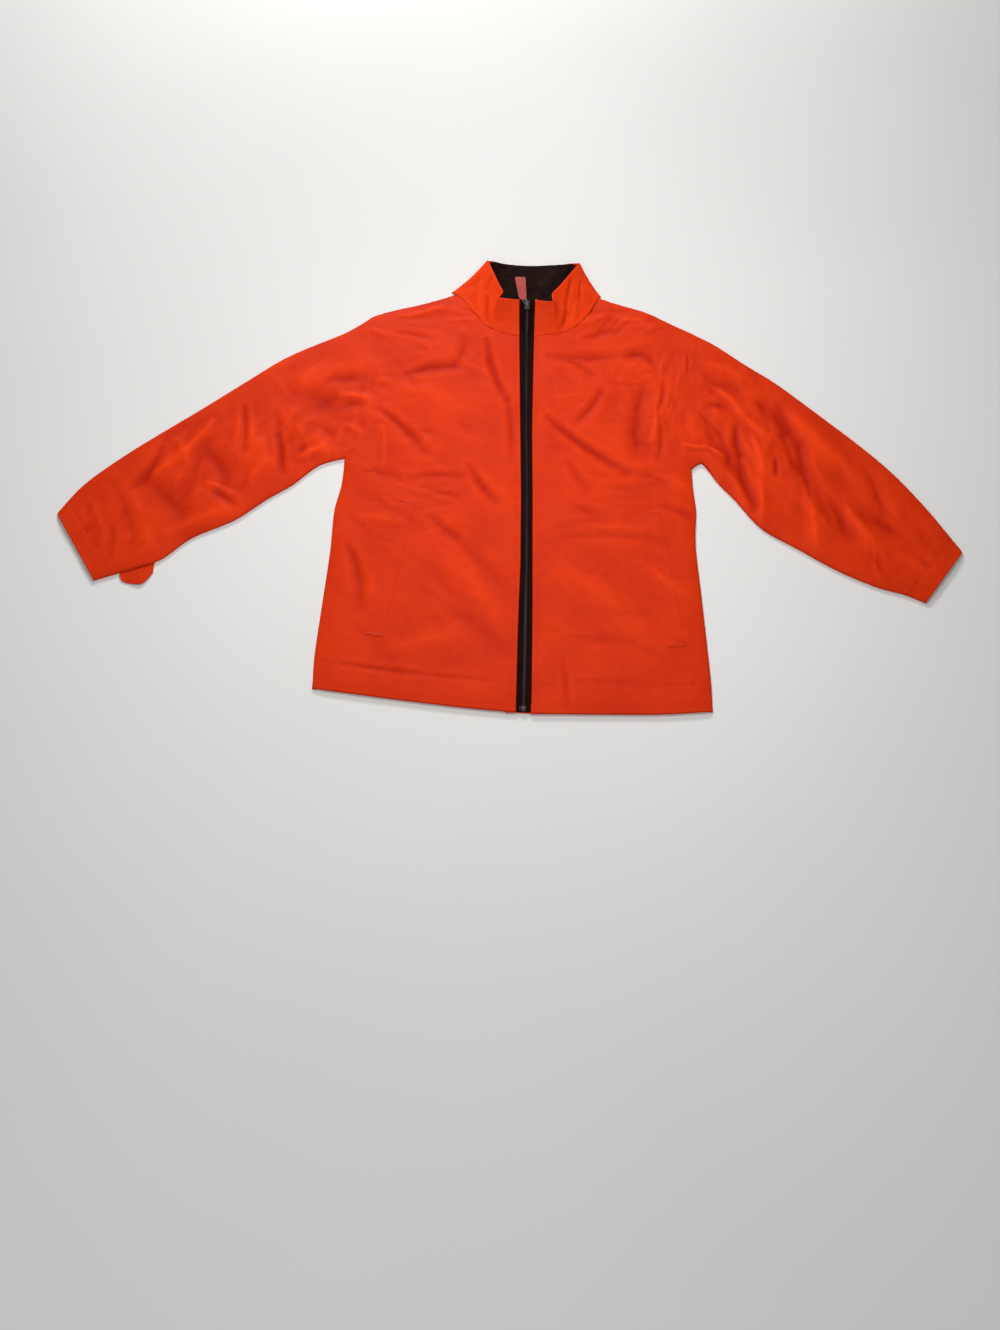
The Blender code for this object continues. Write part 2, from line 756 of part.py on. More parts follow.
def make_pull():
    """A soft tab on a thin axle through the slider's bridge; its origin is on the joint axis."""
    middle, up, out = slider_frame()
    arm_x = BRIDGE_WIDTH / 2 + PULL_CLEAR
    outer_x = arm_x + PULL_ARM
    half = PULL_THICKNESS / 2
    pivot = bpy.data.objects.new("pull_pivot", None)
    JACKET.objects.link(pivot)
    pivot.location = middle + out * (SLIDER_HEIGHT + BRIDGE_INSIDE / 2)
    pivot.rotation_euler = (math.atan2(up.z, up.y), 0, 0)
    right_side = [
        (outer_x, -half),
        (outer_x, PULL_ARM_END),
        (PULL_LOW_WIDTH / 2, PULL_TAB_START),
        (PULL_TOP_WIDTH / 2, PULL_LENGTH - PULL_CORNER),
        (PULL_TOP_WIDTH / 2 - PULL_CORNER, PULL_LENGTH),
    ]
    outline = []
    for x, y in right_side + [(-x, y) for x, y in right_side[::-1]]:
        aside = PULL_SHIFT * smooth_step((y - PULL_ARM_END) / (PULL_TAB_START - PULL_ARM_END))
        outline.append(Vector((x - aside - PULL_LEAN * max(0.0, y - PULL_NECK), y)))
    tab = flat_piece("zip_pull", PULL_SOFT, outline, -half, half)
    tab.parent = pivot
    width = 2 * arm_x
    eye_length = PULL_EYE_END - PULL_AXLE
    # the eye for the bridge, then the three cuts that leave the thin axle between the arms
    cuts = [
        ("eye", (PULL_AXLE + PULL_EYE_END) / 2, 0.0, eye_length, CUTTER_HEIGHT),
        ("outside", -PULL_AXLE - eye_length / 2, 0.0, eye_length, CUTTER_HEIGHT),
        ("over", 0.0, PULL_AXLE + half, 4 * PULL_AXLE, 2 * half),
        ("under", 0.0, -PULL_AXLE - half, 4 * PULL_AXLE, 2 * half),
    ]
    for name, y, z, length, height in cuts:
        cutter = box("pull_cut_" + name, PULL_SOFT, (0, y, z), (width, length, height))
        cutter.parent = pivot
        cut_or_join(tab, cutter, "DIFFERENCE")
    return tab


def make_zip_box():
    """The retainer that the two halves of the zip meet in, at the hem."""
    point = zip_frames()[0][0]
    under_tape = -(WALL + TAPE_GAP) - TAPE
    height = under_tape + (TEETH_HEIGHT + ZIP_BOX_SINK) / 2 + ZIP_BOX_OVER_TAPE
    centre = point + Vector((0, ZIP_BOX_FROM_HEM, height))
    return box("zip_box", TEETH, centre, ZIP_BOX, 0.0, ZIP_BOX_ROUNDING)


def tree_of(obj):
    graph = bpy.context.evaluated_depsgraph_get()
    return BVHTree.FromObject(obj, graph)


def make_welt(side):
    """A slanted strip beside the pocket opening, made from points of the front, moved out."""
    x0, y0, x1, y1 = POCKETS[side]
    start, end = to_plan(x0, y0), to_plan(x1, y1)
    bpy.context.view_layer.update()
    tree = tree_of(bpy.data.objects["front_" + side])
    along = (end - start).normalized()
    across = Vector((-along.y, along.x))
    step = (end - start).length / WELT_ROWS / 2
    down = Vector((0, 0, -1))

    def top_of_front(point):
        heights = []
        for dx, dy in ((0, 0), (step, 0), (-step, 0), (0, step), (0, -step)):
            hit = tree.ray_cast(Vector((point.x + dx, point.y + dy, OVER_ALL)), down)
            heights.append(hit[0].z)
        return max(heights)

    rows = []
    for i in range(WELT_ROWS + 1):
        middle = start.lerp(end, i / WELT_ROWS)
        row = []
        for j in range(WELT_COLUMNS + 1):
            point = middle + across * (WELT_WIDTH * (j / WELT_COLUMNS - 0.5))
            row.append(Vector((point.x, point.y, top_of_front(point) + SEAM + WELT_THICKNESS)))
        rows.append(row[::-1])
    return sheet("pocket_welt_" + side, CLOTH, rows, WELT_THICKNESS)


def make_neck_lining():
    """The dark facing inside the back, where it shows through the neck."""
    upper = smooth_curve(plan_points(BACK_NECK), 10)
    upper = drawn_in(upper, to_plan(*BELLY), FACING_INSET)[1:-1]
    lower = smooth_curve(plan_points(FACING_EDGE), 8)
    low = WALL + SEAM
    flat_piece("neck_lining", INNER, lower + upper[::-1], low, low + LINING)


def make_cuff_tab():
    """The strap end lies beside the sleeve's lower edge, along the edge's own points."""
    free = plan_points(CUFF_TAB)
    edge = drawn_in(sleeve_edge("left", 2), to_plan(*BELOW_CUFF), SEAM)
    first, last = free[0].x - TAB_PAST_CUFF_SIDE, free[-1].x + TAB_PAST_ELBOW_SIDE
    along = [p for p in edge if first < p.x < last]
    flat_piece("cuff_tab_left", CLOTH, along + free, 0.0, TAB_THICKNESS)


def lines_of(table):
    return [smooth_curve(plan_points(table[side]), 10) for side in ("left", "right")]


clear_scene()
JACKET = bpy.data.collections.new("all_weather_jacket")
CUTTERS = bpy.data.collections.new("cutters")
bpy.context.scene.collection.children.link(JACKET)
bpy.context.scene.collection.children.link(CUTTERS)
CLOTH = new_material("shell_cloth", ORANGE, 0.62, 0.0)
INNER = new_material("dark_lining", DARK_LINING, 0.9, 0.0)
TAPE_CLOTH = new_material("zip_tape_cloth", BLACK, 0.8, 0.0)
TEETH = new_material("zip_teeth_plastic", BLACK, 0.45, 0.0)
STEEL_FINISH = new_material("slider_metal", STEEL, 0.35, 1.0)
PULL_SOFT = new_material("pull_rubber", SALMON, 0.6, 0.0)
OUTLINE = build_outline()
HEM_LINES = lines_of(HEM)
NECK_LINES = lines_of(NECK)

make_back()
for which in ("left", "right"):
    make_front(which)
    make_sleeve(which)
    make_welt(which)
make_collar()
make_neck_lining()
make_zip()
make_zip_box()
make_slider()
make_pull()
make_cuff_tab()
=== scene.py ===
import math

import bpy
import numpy as np
from mathutils import Matrix, Vector


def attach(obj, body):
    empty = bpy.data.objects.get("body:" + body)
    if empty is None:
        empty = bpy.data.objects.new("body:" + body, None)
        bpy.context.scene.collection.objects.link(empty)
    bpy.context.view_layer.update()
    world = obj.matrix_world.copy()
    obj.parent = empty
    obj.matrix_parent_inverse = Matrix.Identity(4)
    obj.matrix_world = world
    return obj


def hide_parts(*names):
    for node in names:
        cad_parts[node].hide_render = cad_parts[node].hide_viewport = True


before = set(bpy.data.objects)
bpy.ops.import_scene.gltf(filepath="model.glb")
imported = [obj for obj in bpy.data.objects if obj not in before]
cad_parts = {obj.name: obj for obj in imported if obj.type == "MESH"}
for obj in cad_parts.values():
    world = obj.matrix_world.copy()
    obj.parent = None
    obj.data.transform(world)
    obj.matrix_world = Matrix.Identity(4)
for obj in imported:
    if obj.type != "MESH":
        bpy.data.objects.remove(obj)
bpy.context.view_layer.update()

bpy.ops.object.select_all(action="DESELECT")

# ---------------------------------------------------------------- floor, light and camera
# The jacket lies on a plain pale floor. A broad lamp stands beyond the collar, so that the
# folds and the lower edges are shaded towards the hem, and a wide one fills in from the hem.
FLOOR_SIDE, FLOOR_MIDDLE = 14.0, (0, 2.0, -0.0004)


def new_node(finish, kind, inputs, **options):
    """A node of the finish; each input is given a value or the output that feeds it."""
    node = finish.node_tree.nodes.new("ShaderNode" + kind)
    for option, value in options.items():
        setattr(node, option, value)
    for socket, value in inputs.items():
        if isinstance(value, bpy.types.NodeSocket):
            finish.node_tree.links.new(value, node.inputs[socket])
        else:
            node.inputs[socket].default_value = value
    return node


def feed(finish, socket, output):
    shader = finish.node_tree.nodes["Principled BSDF"]
    finish.node_tree.links.new(output, shader.inputs[socket])


def grain(finish, scale, detail=2.0):
    """Soft noise that lies still on the piece."""
    place = new_node(finish, "TexCoord", {}).outputs["Object"]
    inputs = {"Vector": place, "Scale": scale, "Detail": detail}
    return new_node(finish, "TexNoise", inputs).outputs["Fac"]


def new_finish(name, shine):
    """A finish whose shader has these constants."""
    finish = bpy.data.materials.new(name)
    finish.use_nodes = True
    for socket, value in shine.items():
        finish.node_tree.nodes["Principled BSDF"].inputs[socket].default_value = value
    return finish


def coloured(finish, source, dark, light, stops=(0.0, 1.0)):
    """Colours the finish from dark to light as the source rises between the stops."""
    ramp = new_node(finish, "ValToRGB", {"Fac": source})
    for element, stop, colour in zip(ramp.color_ramp.elements, stops, (dark, light)):
        element.position, element.color = stop, (*colour, 1)
    feed(finish, "Base Color", ramp.outputs["Color"])


bpy.ops.mesh.primitive_plane_add(size=FLOOR_SIDE, location=FLOOR_MIDDLE)
floor = bpy.context.active_object
floor.name = "floor"
floor_paint = new_finish("floor_paint", {"Roughness": 0.92, "Specular IOR Level": 0.2})
coloured(floor_paint, grain(floor_paint, 1.6), (0.74, 0.735, 0.72), (0.80, 0.795, 0.78))
floor.data.materials.append(floor_paint)

LAMPS = [
    # name, place, aim, side, watts
    ("key_lamp", (-0.35, 2.4, 1.50), (0.0, 0.12, 0.0), 0.6, 53.0),
    ("fill_lamp", (-0.3, -1.9, 1.9), (0.0, 0.0, 0.0), 2.2, 22.0),
    ("ceiling_lamp", (0.0, 0.05, 1.02), (0.0, 0.05, 0.0), 0.4, 5.2),
]
for name, place, aim, side, watts in LAMPS:
    bpy.ops.object.light_add(type="AREA", location=place)
    lamp = bpy.context.active_object
    lamp.name = name
    lamp.data.size = side
    lamp.data.energy = watts
    lamp.rotation_euler = (Vector(aim) - Vector(place)).to_track_quat("-Z", "Y").to_euler()

ROOM_GLOW = 0.15
world = bpy.data.worlds.new("room")
world.use_nodes = True
background = world.node_tree.nodes["Background"]
background.inputs["Color"].default_value = (1.0, 1.0, 1.0, 1)
background.inputs["Strength"].default_value = ROOM_GLOW
bpy.context.scene.world = world

# A view from the hem's side, held by hand. The focal length and the height at which the camera's
# axis meets the picture, above its middle, are in pixels of the picture.
PICTURE_HEIGHT, FOCAL_LENGTH, AXIS_FROM_TOP = 1330.0, 1072.0, 495.5
CAMERA_PLACE, CAMERA_TILT, SENSOR = (-0.008, -0.8958, 1.455), 30, 36.0
bpy.ops.object.camera_add(location=CAMERA_PLACE, rotation=(math.radians(CAMERA_TILT), 0, 0))
camera = bpy.context.active_object
camera.name = "camera"
camera.data.sensor_width = SENSOR
camera.data.lens = SENSOR * FOCAL_LENGTH / PICTURE_HEIGHT
camera.data.shift_y = -(PICTURE_HEIGHT / 2 - AXIS_FROM_TOP) / PICTURE_HEIGHT
camera.data.clip_end = 40.0
bpy.context.scene.camera = camera
bpy.context.scene.view_settings.view_transform = "Standard"

# ---------------------------------------------------------------- shell cloth: the two fronts
# Each front is one cut piece of thin, tightly woven shell cloth, turned under at the zip and
# the hem and sewn to the back at the side and shoulder, to the sleeve at the armhole and to
# the collar at the neck. Tables are in millimetres on the plan of the laid-out jacket.
SIDES = ("left", "right")
OUTWARD = {"left": -1, "right": 1}
PLAN_MIDDLE = np.array((8.0, 55.8))
MM = 0.001
CLOTH_THICKNESS, TURN = 0.0009, 0.0010
# The outer face's height over the floor: at the rolled edges, in the middle, at the hem and on
# the zip; the least it has; how far in the edges roll; how much it rises towards the neck
EDGE_TOP, MIDDLE_TOP, HEM_TOP, ZIP_TOP, LEAST_TOP = 0.0035, 0.0070, 0.0054, 0.0066, 0.0026
EDGE_ROLL, HEM_ROLL, NECK_RISE, NECK_REACH = 0.026, 0.018, 0.0018, 0.060
# The closed zip waves a little, and the fronts slope down to it up to this height of the plan
WAVE_LENGTH, WAVE_RISE, WAVE_CREST, ZIP_NECK_RISE = 0.118, 0.0009, 0.006, 0.0012
ZIP_SLOPE, ZIP_SLOPE_END = 0.030, 312
# How much of the creases is left on a rolled edge, at the hem and beside the zip
EDGE_RELIEF, HEM_RELIEF, ZIP_RELIEF, ZIP_RELIEF_FADE = 0.12, 0.3, 0.35, 0.004

# Beside the zip: a height on the plan, and x of the left and of the right front's edge there
ZIP_EDGES = np.array([
    (-352, 21, 45), (-250, 25, 47), (-120, 31, 49), (0, 33, 51), (120, 33, 52), (308, 33, 58),
], float)
NECK = {
    "left": [(33, 308), (-14, 324), (-43, 356), (-76, 404)],
    "right": [(58, 308), (110, 317), (146, 345), (173, 396)],
}
SIDE = {
    "left": [(-265, -317), (-266, -267), (-262, -190), (-257, -100), (-256, -30), (-248, 20),
             (-247, 68)],
    "right": [(297, -351), (299, -298), (298, -173), (297, -90), (303, -30), (302, 10), (303, 46)],
}
ARMHOLE = {
    "left": [(-247, 68), (-225, 79), (-206, 102), (-198, 138), (-199, 182), (-204, 241),
             (-212, 304), (-223, 352)],
    "right": [(303, 46), (283, 60), (270, 88), (270, 130), (287, 180), (310, 225), (325, 268),
              (332, 315)],
}
SHOULDER = {
    "left": [(-76, 404), (-129, 384), (-174, 371), (-204, 361), (-223, 352)],
    "right": [(173, 396), (199, 384), (251, 364), (294, 338), (332, 315)],
}
HEM = {
    "left": [(21, -352), (-52, -345), (-156, -332), (-265, -317)],
    "right": [(45, -354), (140, -355), (224, -355), (297, -351)],
}
SLEEVE_UPPER = {
    "left": [(-223, 352), (-264, 320), (-323, 289), (-371, 259), (-432, 209), (-491, 160),
             (-550, 113), (-606, 66), (-655, 17), (-686, -34)],
    "right": [(332, 315), (364, 294), (412, 252), (462, 210), (520, 151), (577, 91), (623, 36),
              (662, -25), (687, -72), (702, -101)],
}
SLEEVE_LOWER = {
    "left": [(-247, 68), (-288, 54), (-327, 18), (-364, -8), (-410, -45), (-471, -76), (-512, -112),
             (-548, -127), (-588, -141), (-608, -148)],
    "right": [(303, 46), (324, 57), (343, 22), (367, -10), (402, -60), (454, -96), (508, -132),
              (562, -159), (600, -171), (630, -185)],
}

# The cloth's creases, placed one by one: start x, y; end x, y; sideways bow; half width; rise
CREASES = [
    # left front
    (-196, 158, -120, 75, 5, 8, -3.0),
    (-48, 49, -5, -17, -3, 7.5, -2.8),
    (-106, -42, -68, -76, -2, 8, -2.2),
    (-68, -76, -34, -112, -2, 8, -1.2),
    (-30, -121, 12, -176, 3, 12, -0.8),
    (-22, 302, 12, 178, -7, 6.5, -2.9),
    (12, 178, 18, 60, 4, 7, -1.8),
    (-150, 231, -78, 246, 5, 10, -3.0),
    (-78, 246, -60, 296, -4, 9, -1.8),
    (-176, 317, -114, 302, 3, 6, -1.5),
    (-173, 355, -104, 372, -3, 7, 2.5),
    (-142, 30, -58, 30, 3, 7, -1.5),
    (-118, 12, -66, -6, -3, 5, -1.2),
    (-102, -90, 0, -218, 6, 22, 1.2),
    (-190, 125, -185, 49, 2, 5, 1.5),
    (-231, -94, -206, -193, 6, 9, -2.2),
    (-149, 198, -74, 168, 5, 34, 1.8),
    (-215, -40, -160, -52, 2, 9, 1.2),
    (-160, -262, -60, -240, 5, 15, 1.2),
    (-70, -190, 5, -262, 3, 13, -0.8),
    (-210, 40, -150, 22, 4, 10, -1.4),
    (-150, 110, -60, 108, 6, 12, -0.9),
    (-96, 118, -30, 90, 4, 14, 1.2),
    (-200, -230, -140, -300, 5, 12, -0.7),
    (-225, -283, -120, -297, 0, 5, -1.3),
    (-120, -297, -20, -306, 0, 4.5, -0.6),
    # right front
    (78, 142, 201, 38, -5, 8, -3.2),
    (201, 38, 262, 20, 3, 10, -1.5),
    (118, 256, 155, 225, 3, 6.5, -2.0),
    (169, 198, 125, 133, 4, 7.5, -2.2),
    (84, 266, 214, 266, -4, 11, -2.0),
    (219, 268, 246, 268, 3, 13, -3.2),
    (246, 268, 262, 240, 2, 8, -1.8),
    (237, 198, 220, 75, -6, 14, -2.6),
    (102, -77, 254, -84, 5, 8, -1.2),
    (90, -276, 94, -346, 2, 5, -1.2),
    (90, -133, 204, -222, 8, 28, 1.1),
    (110, 60, 140, 5, -3, 7, -1.5),
    (250, 30, 296, 4, 4, 10, 1.5),
    (255, -20, 300, -50, 4, 9, -1.4),
    (120, 330, 180, 356, -3, 9, 1.6),
    (150, 300, 205, 325, 4, 9, -1.5),
    (200, 350, 262, 330, 3, 8, 1.4),
    (115, -20, 160, -55, 3, 10, -0.9),
    (210, -120, 265, -170, 4, 13, 1.3),
    (120, -240, 220, -262, 5, 12, -0.7),
    (80, -307, 200, -311, 0, 4.5, -0.6),
    (262, 140, 252, 60, 3, 5, -1.6),
    (255, 160, 243, 92, 3, 4.5, 1.3),
    (272, 215, 262, 160, 2, 4.5, -1.5),
    # left sleeve
    (-420, 164, -410, 81, 2, 6.5, -3.0),
    (-358, 109, -346, 39, 2, 6.5, -3.0),
    (-366, 150, -358, 109, 3, 8, -1.6),
    (-544, 81, -572, 12, 5, 9, -2.5),
    (-468, 134, -542, 39, 7, 9, 3.0),
    (-482, 62, -498, -12, 5, 18, -2.2),
    (-453, 3, -411, -24, 3, 7.5, -2.0),
    (-462, 18, -418, -2, 3, 5, 1.6),
    (-283, 218, -225, 218, 3, 15, -2.6),
    (-264, 186, -211, 178, 3, 7.5, 2.5),
    (-257, 162, -235, 170, 2, 9, -2.0),
    (-319, 66, -285, 81, 3, 8, 3.0),
    (-505, -70, -411, -26, 5, 14, 2.0),
    (-330, 200, -300, 250, 6, 18, 1.5),
    (-400, 225, -330, 280, 5, 14, 1.3),
    (-610, 20, -570, -60, 5, 10, -1.1),
    (-640, -10, -606, -80, 4, 7, 1.0),
    (-596, -60, -590, -110, 3, 7, -0.9),
    (-570, -52, -556, -100, 3, 7, -0.9),
    (-545, -60, -532, -95, 2, 7, 0.8),
    (-520, 100, -500, 60, 3, 8, 1.2),
    (-300, 130, -262, 92, 4, 10, -1.3),
    (-252, 128, -222, 110, 3, 7, 1.3),
    (-392, 20, -372, 60, 3, 8, 1.5),
    (-330, 130, -316, 96, 3, 8, 1.4),
    (-340, 190, -262, 150, 8, 26, -2.2),
    (-300, 100, -270, 70, 4, 16, 1.6),
    (-420, 130, -372, 60, 6, 20, 2.0),
    (-480, 90, -430, 10, 8, 22, -2.2),
    (-560, 20, -480, -60, 8, 24, -2.0),
    (-600, 90, -470, 190, 6, 14, 1.4),
    # right sleeve
    (353, 110, 372, 10, 5, 16, -2.4),
    (408, 100, 412, 20, 4, 16, 2.2),
    (440, 170, 470, 40, 6, 17, -2.4),
    (470, 150, 520, 60, 6, 18, 1.8),
    (480, 0, 510, -50, 6, 20, -1.8),
    (560, -40, 620, -90, 6, 20, -1.6),
    (330, 150, 340, 90, 3, 12, -1.8),
    (297, 90, 329, 86, -3, 4.5, 3.4),
    (329, 86, 357, 64, 3, 4.5, 3.4),
    (384, 125, 383, 71, -3, 8, -3.2),
    (383, 71, 396, -24, -5, 8, -3.2),
    (364, 194, 392, 154, 3, 8, 3.0),
    (392, 154, 435, 102, -3, 8, 3.0),
    (459, 164, 481, 90, -4, 12, -2.2),
    (481, 90, 484, 6, -3, 12, -2.2),
    (420, 178, 432, 144, 3, 12, -2.0),
    (339, 164, 369, 164, 2, 8, -2.5),
    (439, 62, 436, 34, 1, 4.5, -2.5),
    (579, 43, 590, -38, 4, 10, -1.7),
    (585, -51, 604, -73, 2, 9, -1.3),
    (541, -38, 565, -94, 4, 13, 2.5),
    (480, 3, 481, -94, 4, 11, 2.5),
    (514, -12, 527, -73, 4, 12, -1.6),
    (352, 49, 381, -12, 3, 10, 2.0),
    (410, 20, 400, -50, 3, 7, 1.8),
    (405, 110, 418, 40, 3, 7, 1.6),
    (540, 60, 560, 0, 4, 12, 1.2),
    (625, -30, 648, -90, 3, 9, -1.2),
    (604, -110, 640, -140, 3, 10, 1.0),
    (500, 120, 530, 60, 4, 14, 1.3),
    (344, 250, 400, 226, 3, 12, 1.4),
    (350, 212, 400, 190, 3, 10, -1.3),
]

# Groups of small crinkles: middle x, y; spread x, y; direction and its scatter in degrees;
# how many; length; half width; rise of a deep one. Each is given its own by a seeded draw.
CRINKLES = [
    (-110, 180, 90, 100, -35, 55, 46, 46, 5.0, 0.55),
    (-120, -10, 100, 60, -8, 35, 42, 52, 5.0, 0.60),
    (-110, -190, 110, 90, -42, 40, 46, 60, 6.0, 0.45),
    (-130, 350, 90, 40, -12, 25, 30, 42, 4.5, 0.75),
    (175, 180, 90, 100, -30, 60, 46, 46, 5.0, 0.55),
    (180, 0, 90, 60, -4, 30, 40, 52, 5.0, 0.55),
    (180, -200, 90, 90, -32, 40, 40, 60, 6.0, 0.45),
    (195, 335, 90, 40, 14, 40, 30, 42, 4.5, 0.75),
    (-235, 150, 30, 80, 84, 22, 26, 40, 4.2, 0.70),
    (288, 170, 26, 90, 86, 16, 40, 44, 4.0, 0.85),
    (-330, 150, 70, 80, 60, 40, 40, 40, 5.0, 0.80),
    (-470, 60, 80, 70, 62, 35, 46, 42, 5.0, 0.75),
    (-600, -50, 50, 60, 66, 30, 36, 34, 4.5, 0.65),
    (390, 150, 60, 90, -64, 35, 44, 44, 5.0, 0.80),
    (490, 20, 60, 80, -70, 30, 46, 44, 5.0, 0.80),
    (610, -80, 50, 60, -64, 30, 36, 34, 4.5, 0.65),
]


def plan(rows):
    """Plan millimetres to metres from the jacket's middle."""
    return (np.array(rows, float) - PLAN_MIDDLE) * MM


def smooth_line(points, steps=12):
    """A smooth curve through the points, with this many steps between each two."""
    points = np.asarray(points, float)
    last = len(points) - 1
    t = (np.arange(steps) / steps)[:, None]
    pieces = []
    for i in range(last):
        start, end = points[i], points[i + 1]
        leave = (end - points[max(i - 1, 0)]) / 2
        arrive = (points[min(i + 2, last)] - start) / 2
        pieces.append(
            start * (2 * t**3 - 3 * t**2 + 1)
            + leave * (t**3 - 2 * t**2 + t)
            + end * (3 * t**2 - 2 * t**3)
            + arrive * (t**3 - t**2)
        )
    return np.concatenate(pieces + [points[-1:]])


def reach_of(line):
    """How far along the line each of its points lies."""
    return np.concatenate([[0.0], np.cumsum(np.linalg.norm(np.diff(line, axis=0), axis=1))])


def at_reach(line, want, reach):
    return np.stack([np.interp(want, reach, column) for column in line.T], axis=-1)


def at_shares(line, shares):
    """Points of the line at these shares of its length."""
    reach = reach_of(line)
    return at_reach(line, np.asarray(shares) * reach[-1], reach)


def even(line, count):
    return at_shares(line, np.linspace(0, 1, count + 1))


def drawn(rows, count):
    """A smooth line through points of the plan, in even steps."""
    return even(smooth_line(plan(rows)), count)


def unit(vectors):
    return vectors / np.maximum(np.linalg.norm(vectors, axis=-1, keepdims=True), 1e-12)


def sideways(line, towards):
    """Unit vectors square to a plan line, on the side of one point."""
    along = np.gradient(line, axis=0)
    side = unit(np.stack([-along[:, 1], along[:, 0]], axis=1))
    side[((np.asarray(towards) - line) * side).sum(axis=1) < 0] *= -1
    return side


def nearest(points, line):
    """Distance from a line, and how far along it the nearest place is, in metres."""
    best = np.full(len(points), np.inf)
    place = np.zeros(len(points))
    for a, b, passed in zip(line[:-1], line[1:], reach_of(line)):
        d = b - a
        t = np.clip(((points - a) @ d) / (d @ d), 0, 1)
        away = np.hypot(*(points - a - t[:, None] * d).T)
        closer = away < best
        best[closer] = away[closer]
        place[closer] = passed + t[closer] * np.hypot(*d)
    return best, place


def near(points, lines):
    """Distance of each plan point from the nearest of some lines."""
    return np.min([nearest(points, line)[0] for line in lines], axis=0)


def ease(value):
    value = np.clip(value, 0, 1)
    return value * value * (3 - 2 * value)


def kept(least, share):
    """1 where the share is 1, down to the least where it is 0."""
    return least + (1 - least) * share


def zip_edge(y, which):
    """x of a front's edge beside the zip, in metres."""
    x = np.interp(y / MM + PLAN_MIDDLE[1], ZIP_EDGES[:, 0], ZIP_EDGES[:, 1 + SIDES.index(which)])
    return (x - PLAN_MIDDLE[0]) * MM


OUTLINE = [
    drawn(edge[which], steps)
    for which in SIDES
    for edge, steps in ((SIDE, 14), (SHOULDER, 8), (SLEEVE_UPPER, 26), (SLEEVE_LOWER, 26))
]
HEM_LINES = {which: drawn(HEM[which], 10) for which in SIDES}
NECK_LINES = {which: drawn(NECK[which], 10) for which in SIDES}
ARM_LINES = {which: drawn(ARMHOLE[which], 24) for which in SIDES}
BODY_MIDDLE = plan((40, 150))
NECK_START_Y = plan(NECK["left"][0])[1]
ZIP_SLOPE_END_Y = plan((0, ZIP_SLOPE_END))[1]


def zip_top(y):
    wave = WAVE_RISE * np.cos(2 * math.pi * (y - WAVE_CREST) / WAVE_LENGTH)
    return ZIP_TOP + wave + ZIP_NECK_RISE * ease(1 - (NECK_START_Y - y) / NECK_REACH)


# Rows of sewing that draw the cloth in: their distance from the edge that they follow
HEM_DEPTH, ZIP_STITCH, ARM_STITCH, CUFF_DEPTH = 0.040, 0.0065, 0.0055, 0.027
ZIP_ROW_POINTS, CUFF_ROW_POINTS = 60, 12
# How far each row's puckers reach, their pitch and their depth; the dent of the thread itself
PUCKERS = {
    "hem": (0.016, 0.0150, 0.00030),
    "zip": (0.010, 0.0170, 0.00025),
    "arm": (0.020, 0.0175, 0.00042),
    "cuff": (0.018, 0.0160, 0.00034),
}
THREAD_DENT, THREAD_DENT_WIDTH = 0.00040, 0.0022
# How far the puckers stray from an even pitch, how much of their depth stays everywhere, and
# how soon they fade beside the row
PUCKER_STRAY, PUCKER_EVEN, PUCKER_FADE = 2.6, 0.45, 0.62


def sewn_lines(which):
    hem, arm = HEM_LINES[which], ARM_LINES[which]
    y = np.linspace(hem[0, 1], NECK_START_Y, ZIP_ROW_POINTS)
    cuff = []
    for edge in (SLEEVE_UPPER, SLEEVE_LOWER):
        back = smooth_line(plan(edge[which]))[::-1]
        cuff.append(at_reach(back, CUFF_DEPTH, reach_of(back)))
    return {
        "hem": hem + sideways(hem, BODY_MIDDLE) * HEM_DEPTH,
        "zip": np.stack([zip_edge(y, which) + OUTWARD[which] * ZIP_STITCH, y], axis=1),
        "arm": arm - sideways(arm, BODY_MIDDLE) * ARM_STITCH,
        "cuff": np.linspace(*cuff, CUFF_ROW_POINTS),
    }


SEWN = {kind + "_" + which: line for which in SIDES for kind, line in sewn_lines(which).items()}

# A crease's section: the share and width of its sharp middle; the place and width of its lips
SHARP_SHARE, SHARP_WIDTH, LIP_PLACE, LIP_WIDTH = 0.38, 0.42, 1.9, 0.9
# Along it: the share of its rise left at its ends, how it swells between them, and how wide it
# is at its start and what it gains to its end
ENDS_RISE, ENDS_CUT, SWELL, START_WIDTH, WIDENING = 0.40, (0.03, 0.97), 0.8, 0.75, 0.35
# How far from its line it is felt, in half widths, and into how many points the line is laid
CREASE_REACH, CREASE_POINTS = 4, 7
# How high the lips of a placed crease and of a crinkle are, as shares of the rise
CREASE_LIPS, CRINKLE_LIPS = 0.28, 0.20
# A crinkle's draw: the part of the scatter that it takes, its half length as a share of the
# length, its depth as a share of the rise, how many are ridges, its bow and its width
DRAWN_SCATTER, DRAWN_HALF, DRAWN_RISE, RIDGES = 0.6, (0.25, 0.75), (0.25, 1.0), 0.42
DRAWN_BOW, DRAWN_WIDTH, CRINKLE_SEED = 0.12, (0.8, 1.6), 41
# The cloth's overall unevenness: its rise; how fast it waves across, and how far and how fast
# those waves wander; the same up the jacket; where the wandering starts
UNEVEN = [
    (0.00042, 43, 1.3, 27, 37, 0.9, 31, 1.0),
    (0.00018, 121, 2.1, 83, 97, 1.7, 71, 0.0),
]


def bowed(x0, y0, x1, y1, bow):
    a, b = plan([(x0, y0), (x1, y1)])
    along = unit(b - a)
    side = np.array((-along[1], along[0]))
    t = np.linspace(0, 1, CREASE_POINTS)[:, None]
    return a + (b - a) * t + side * (4 * t * (1 - t)) * bow * MM


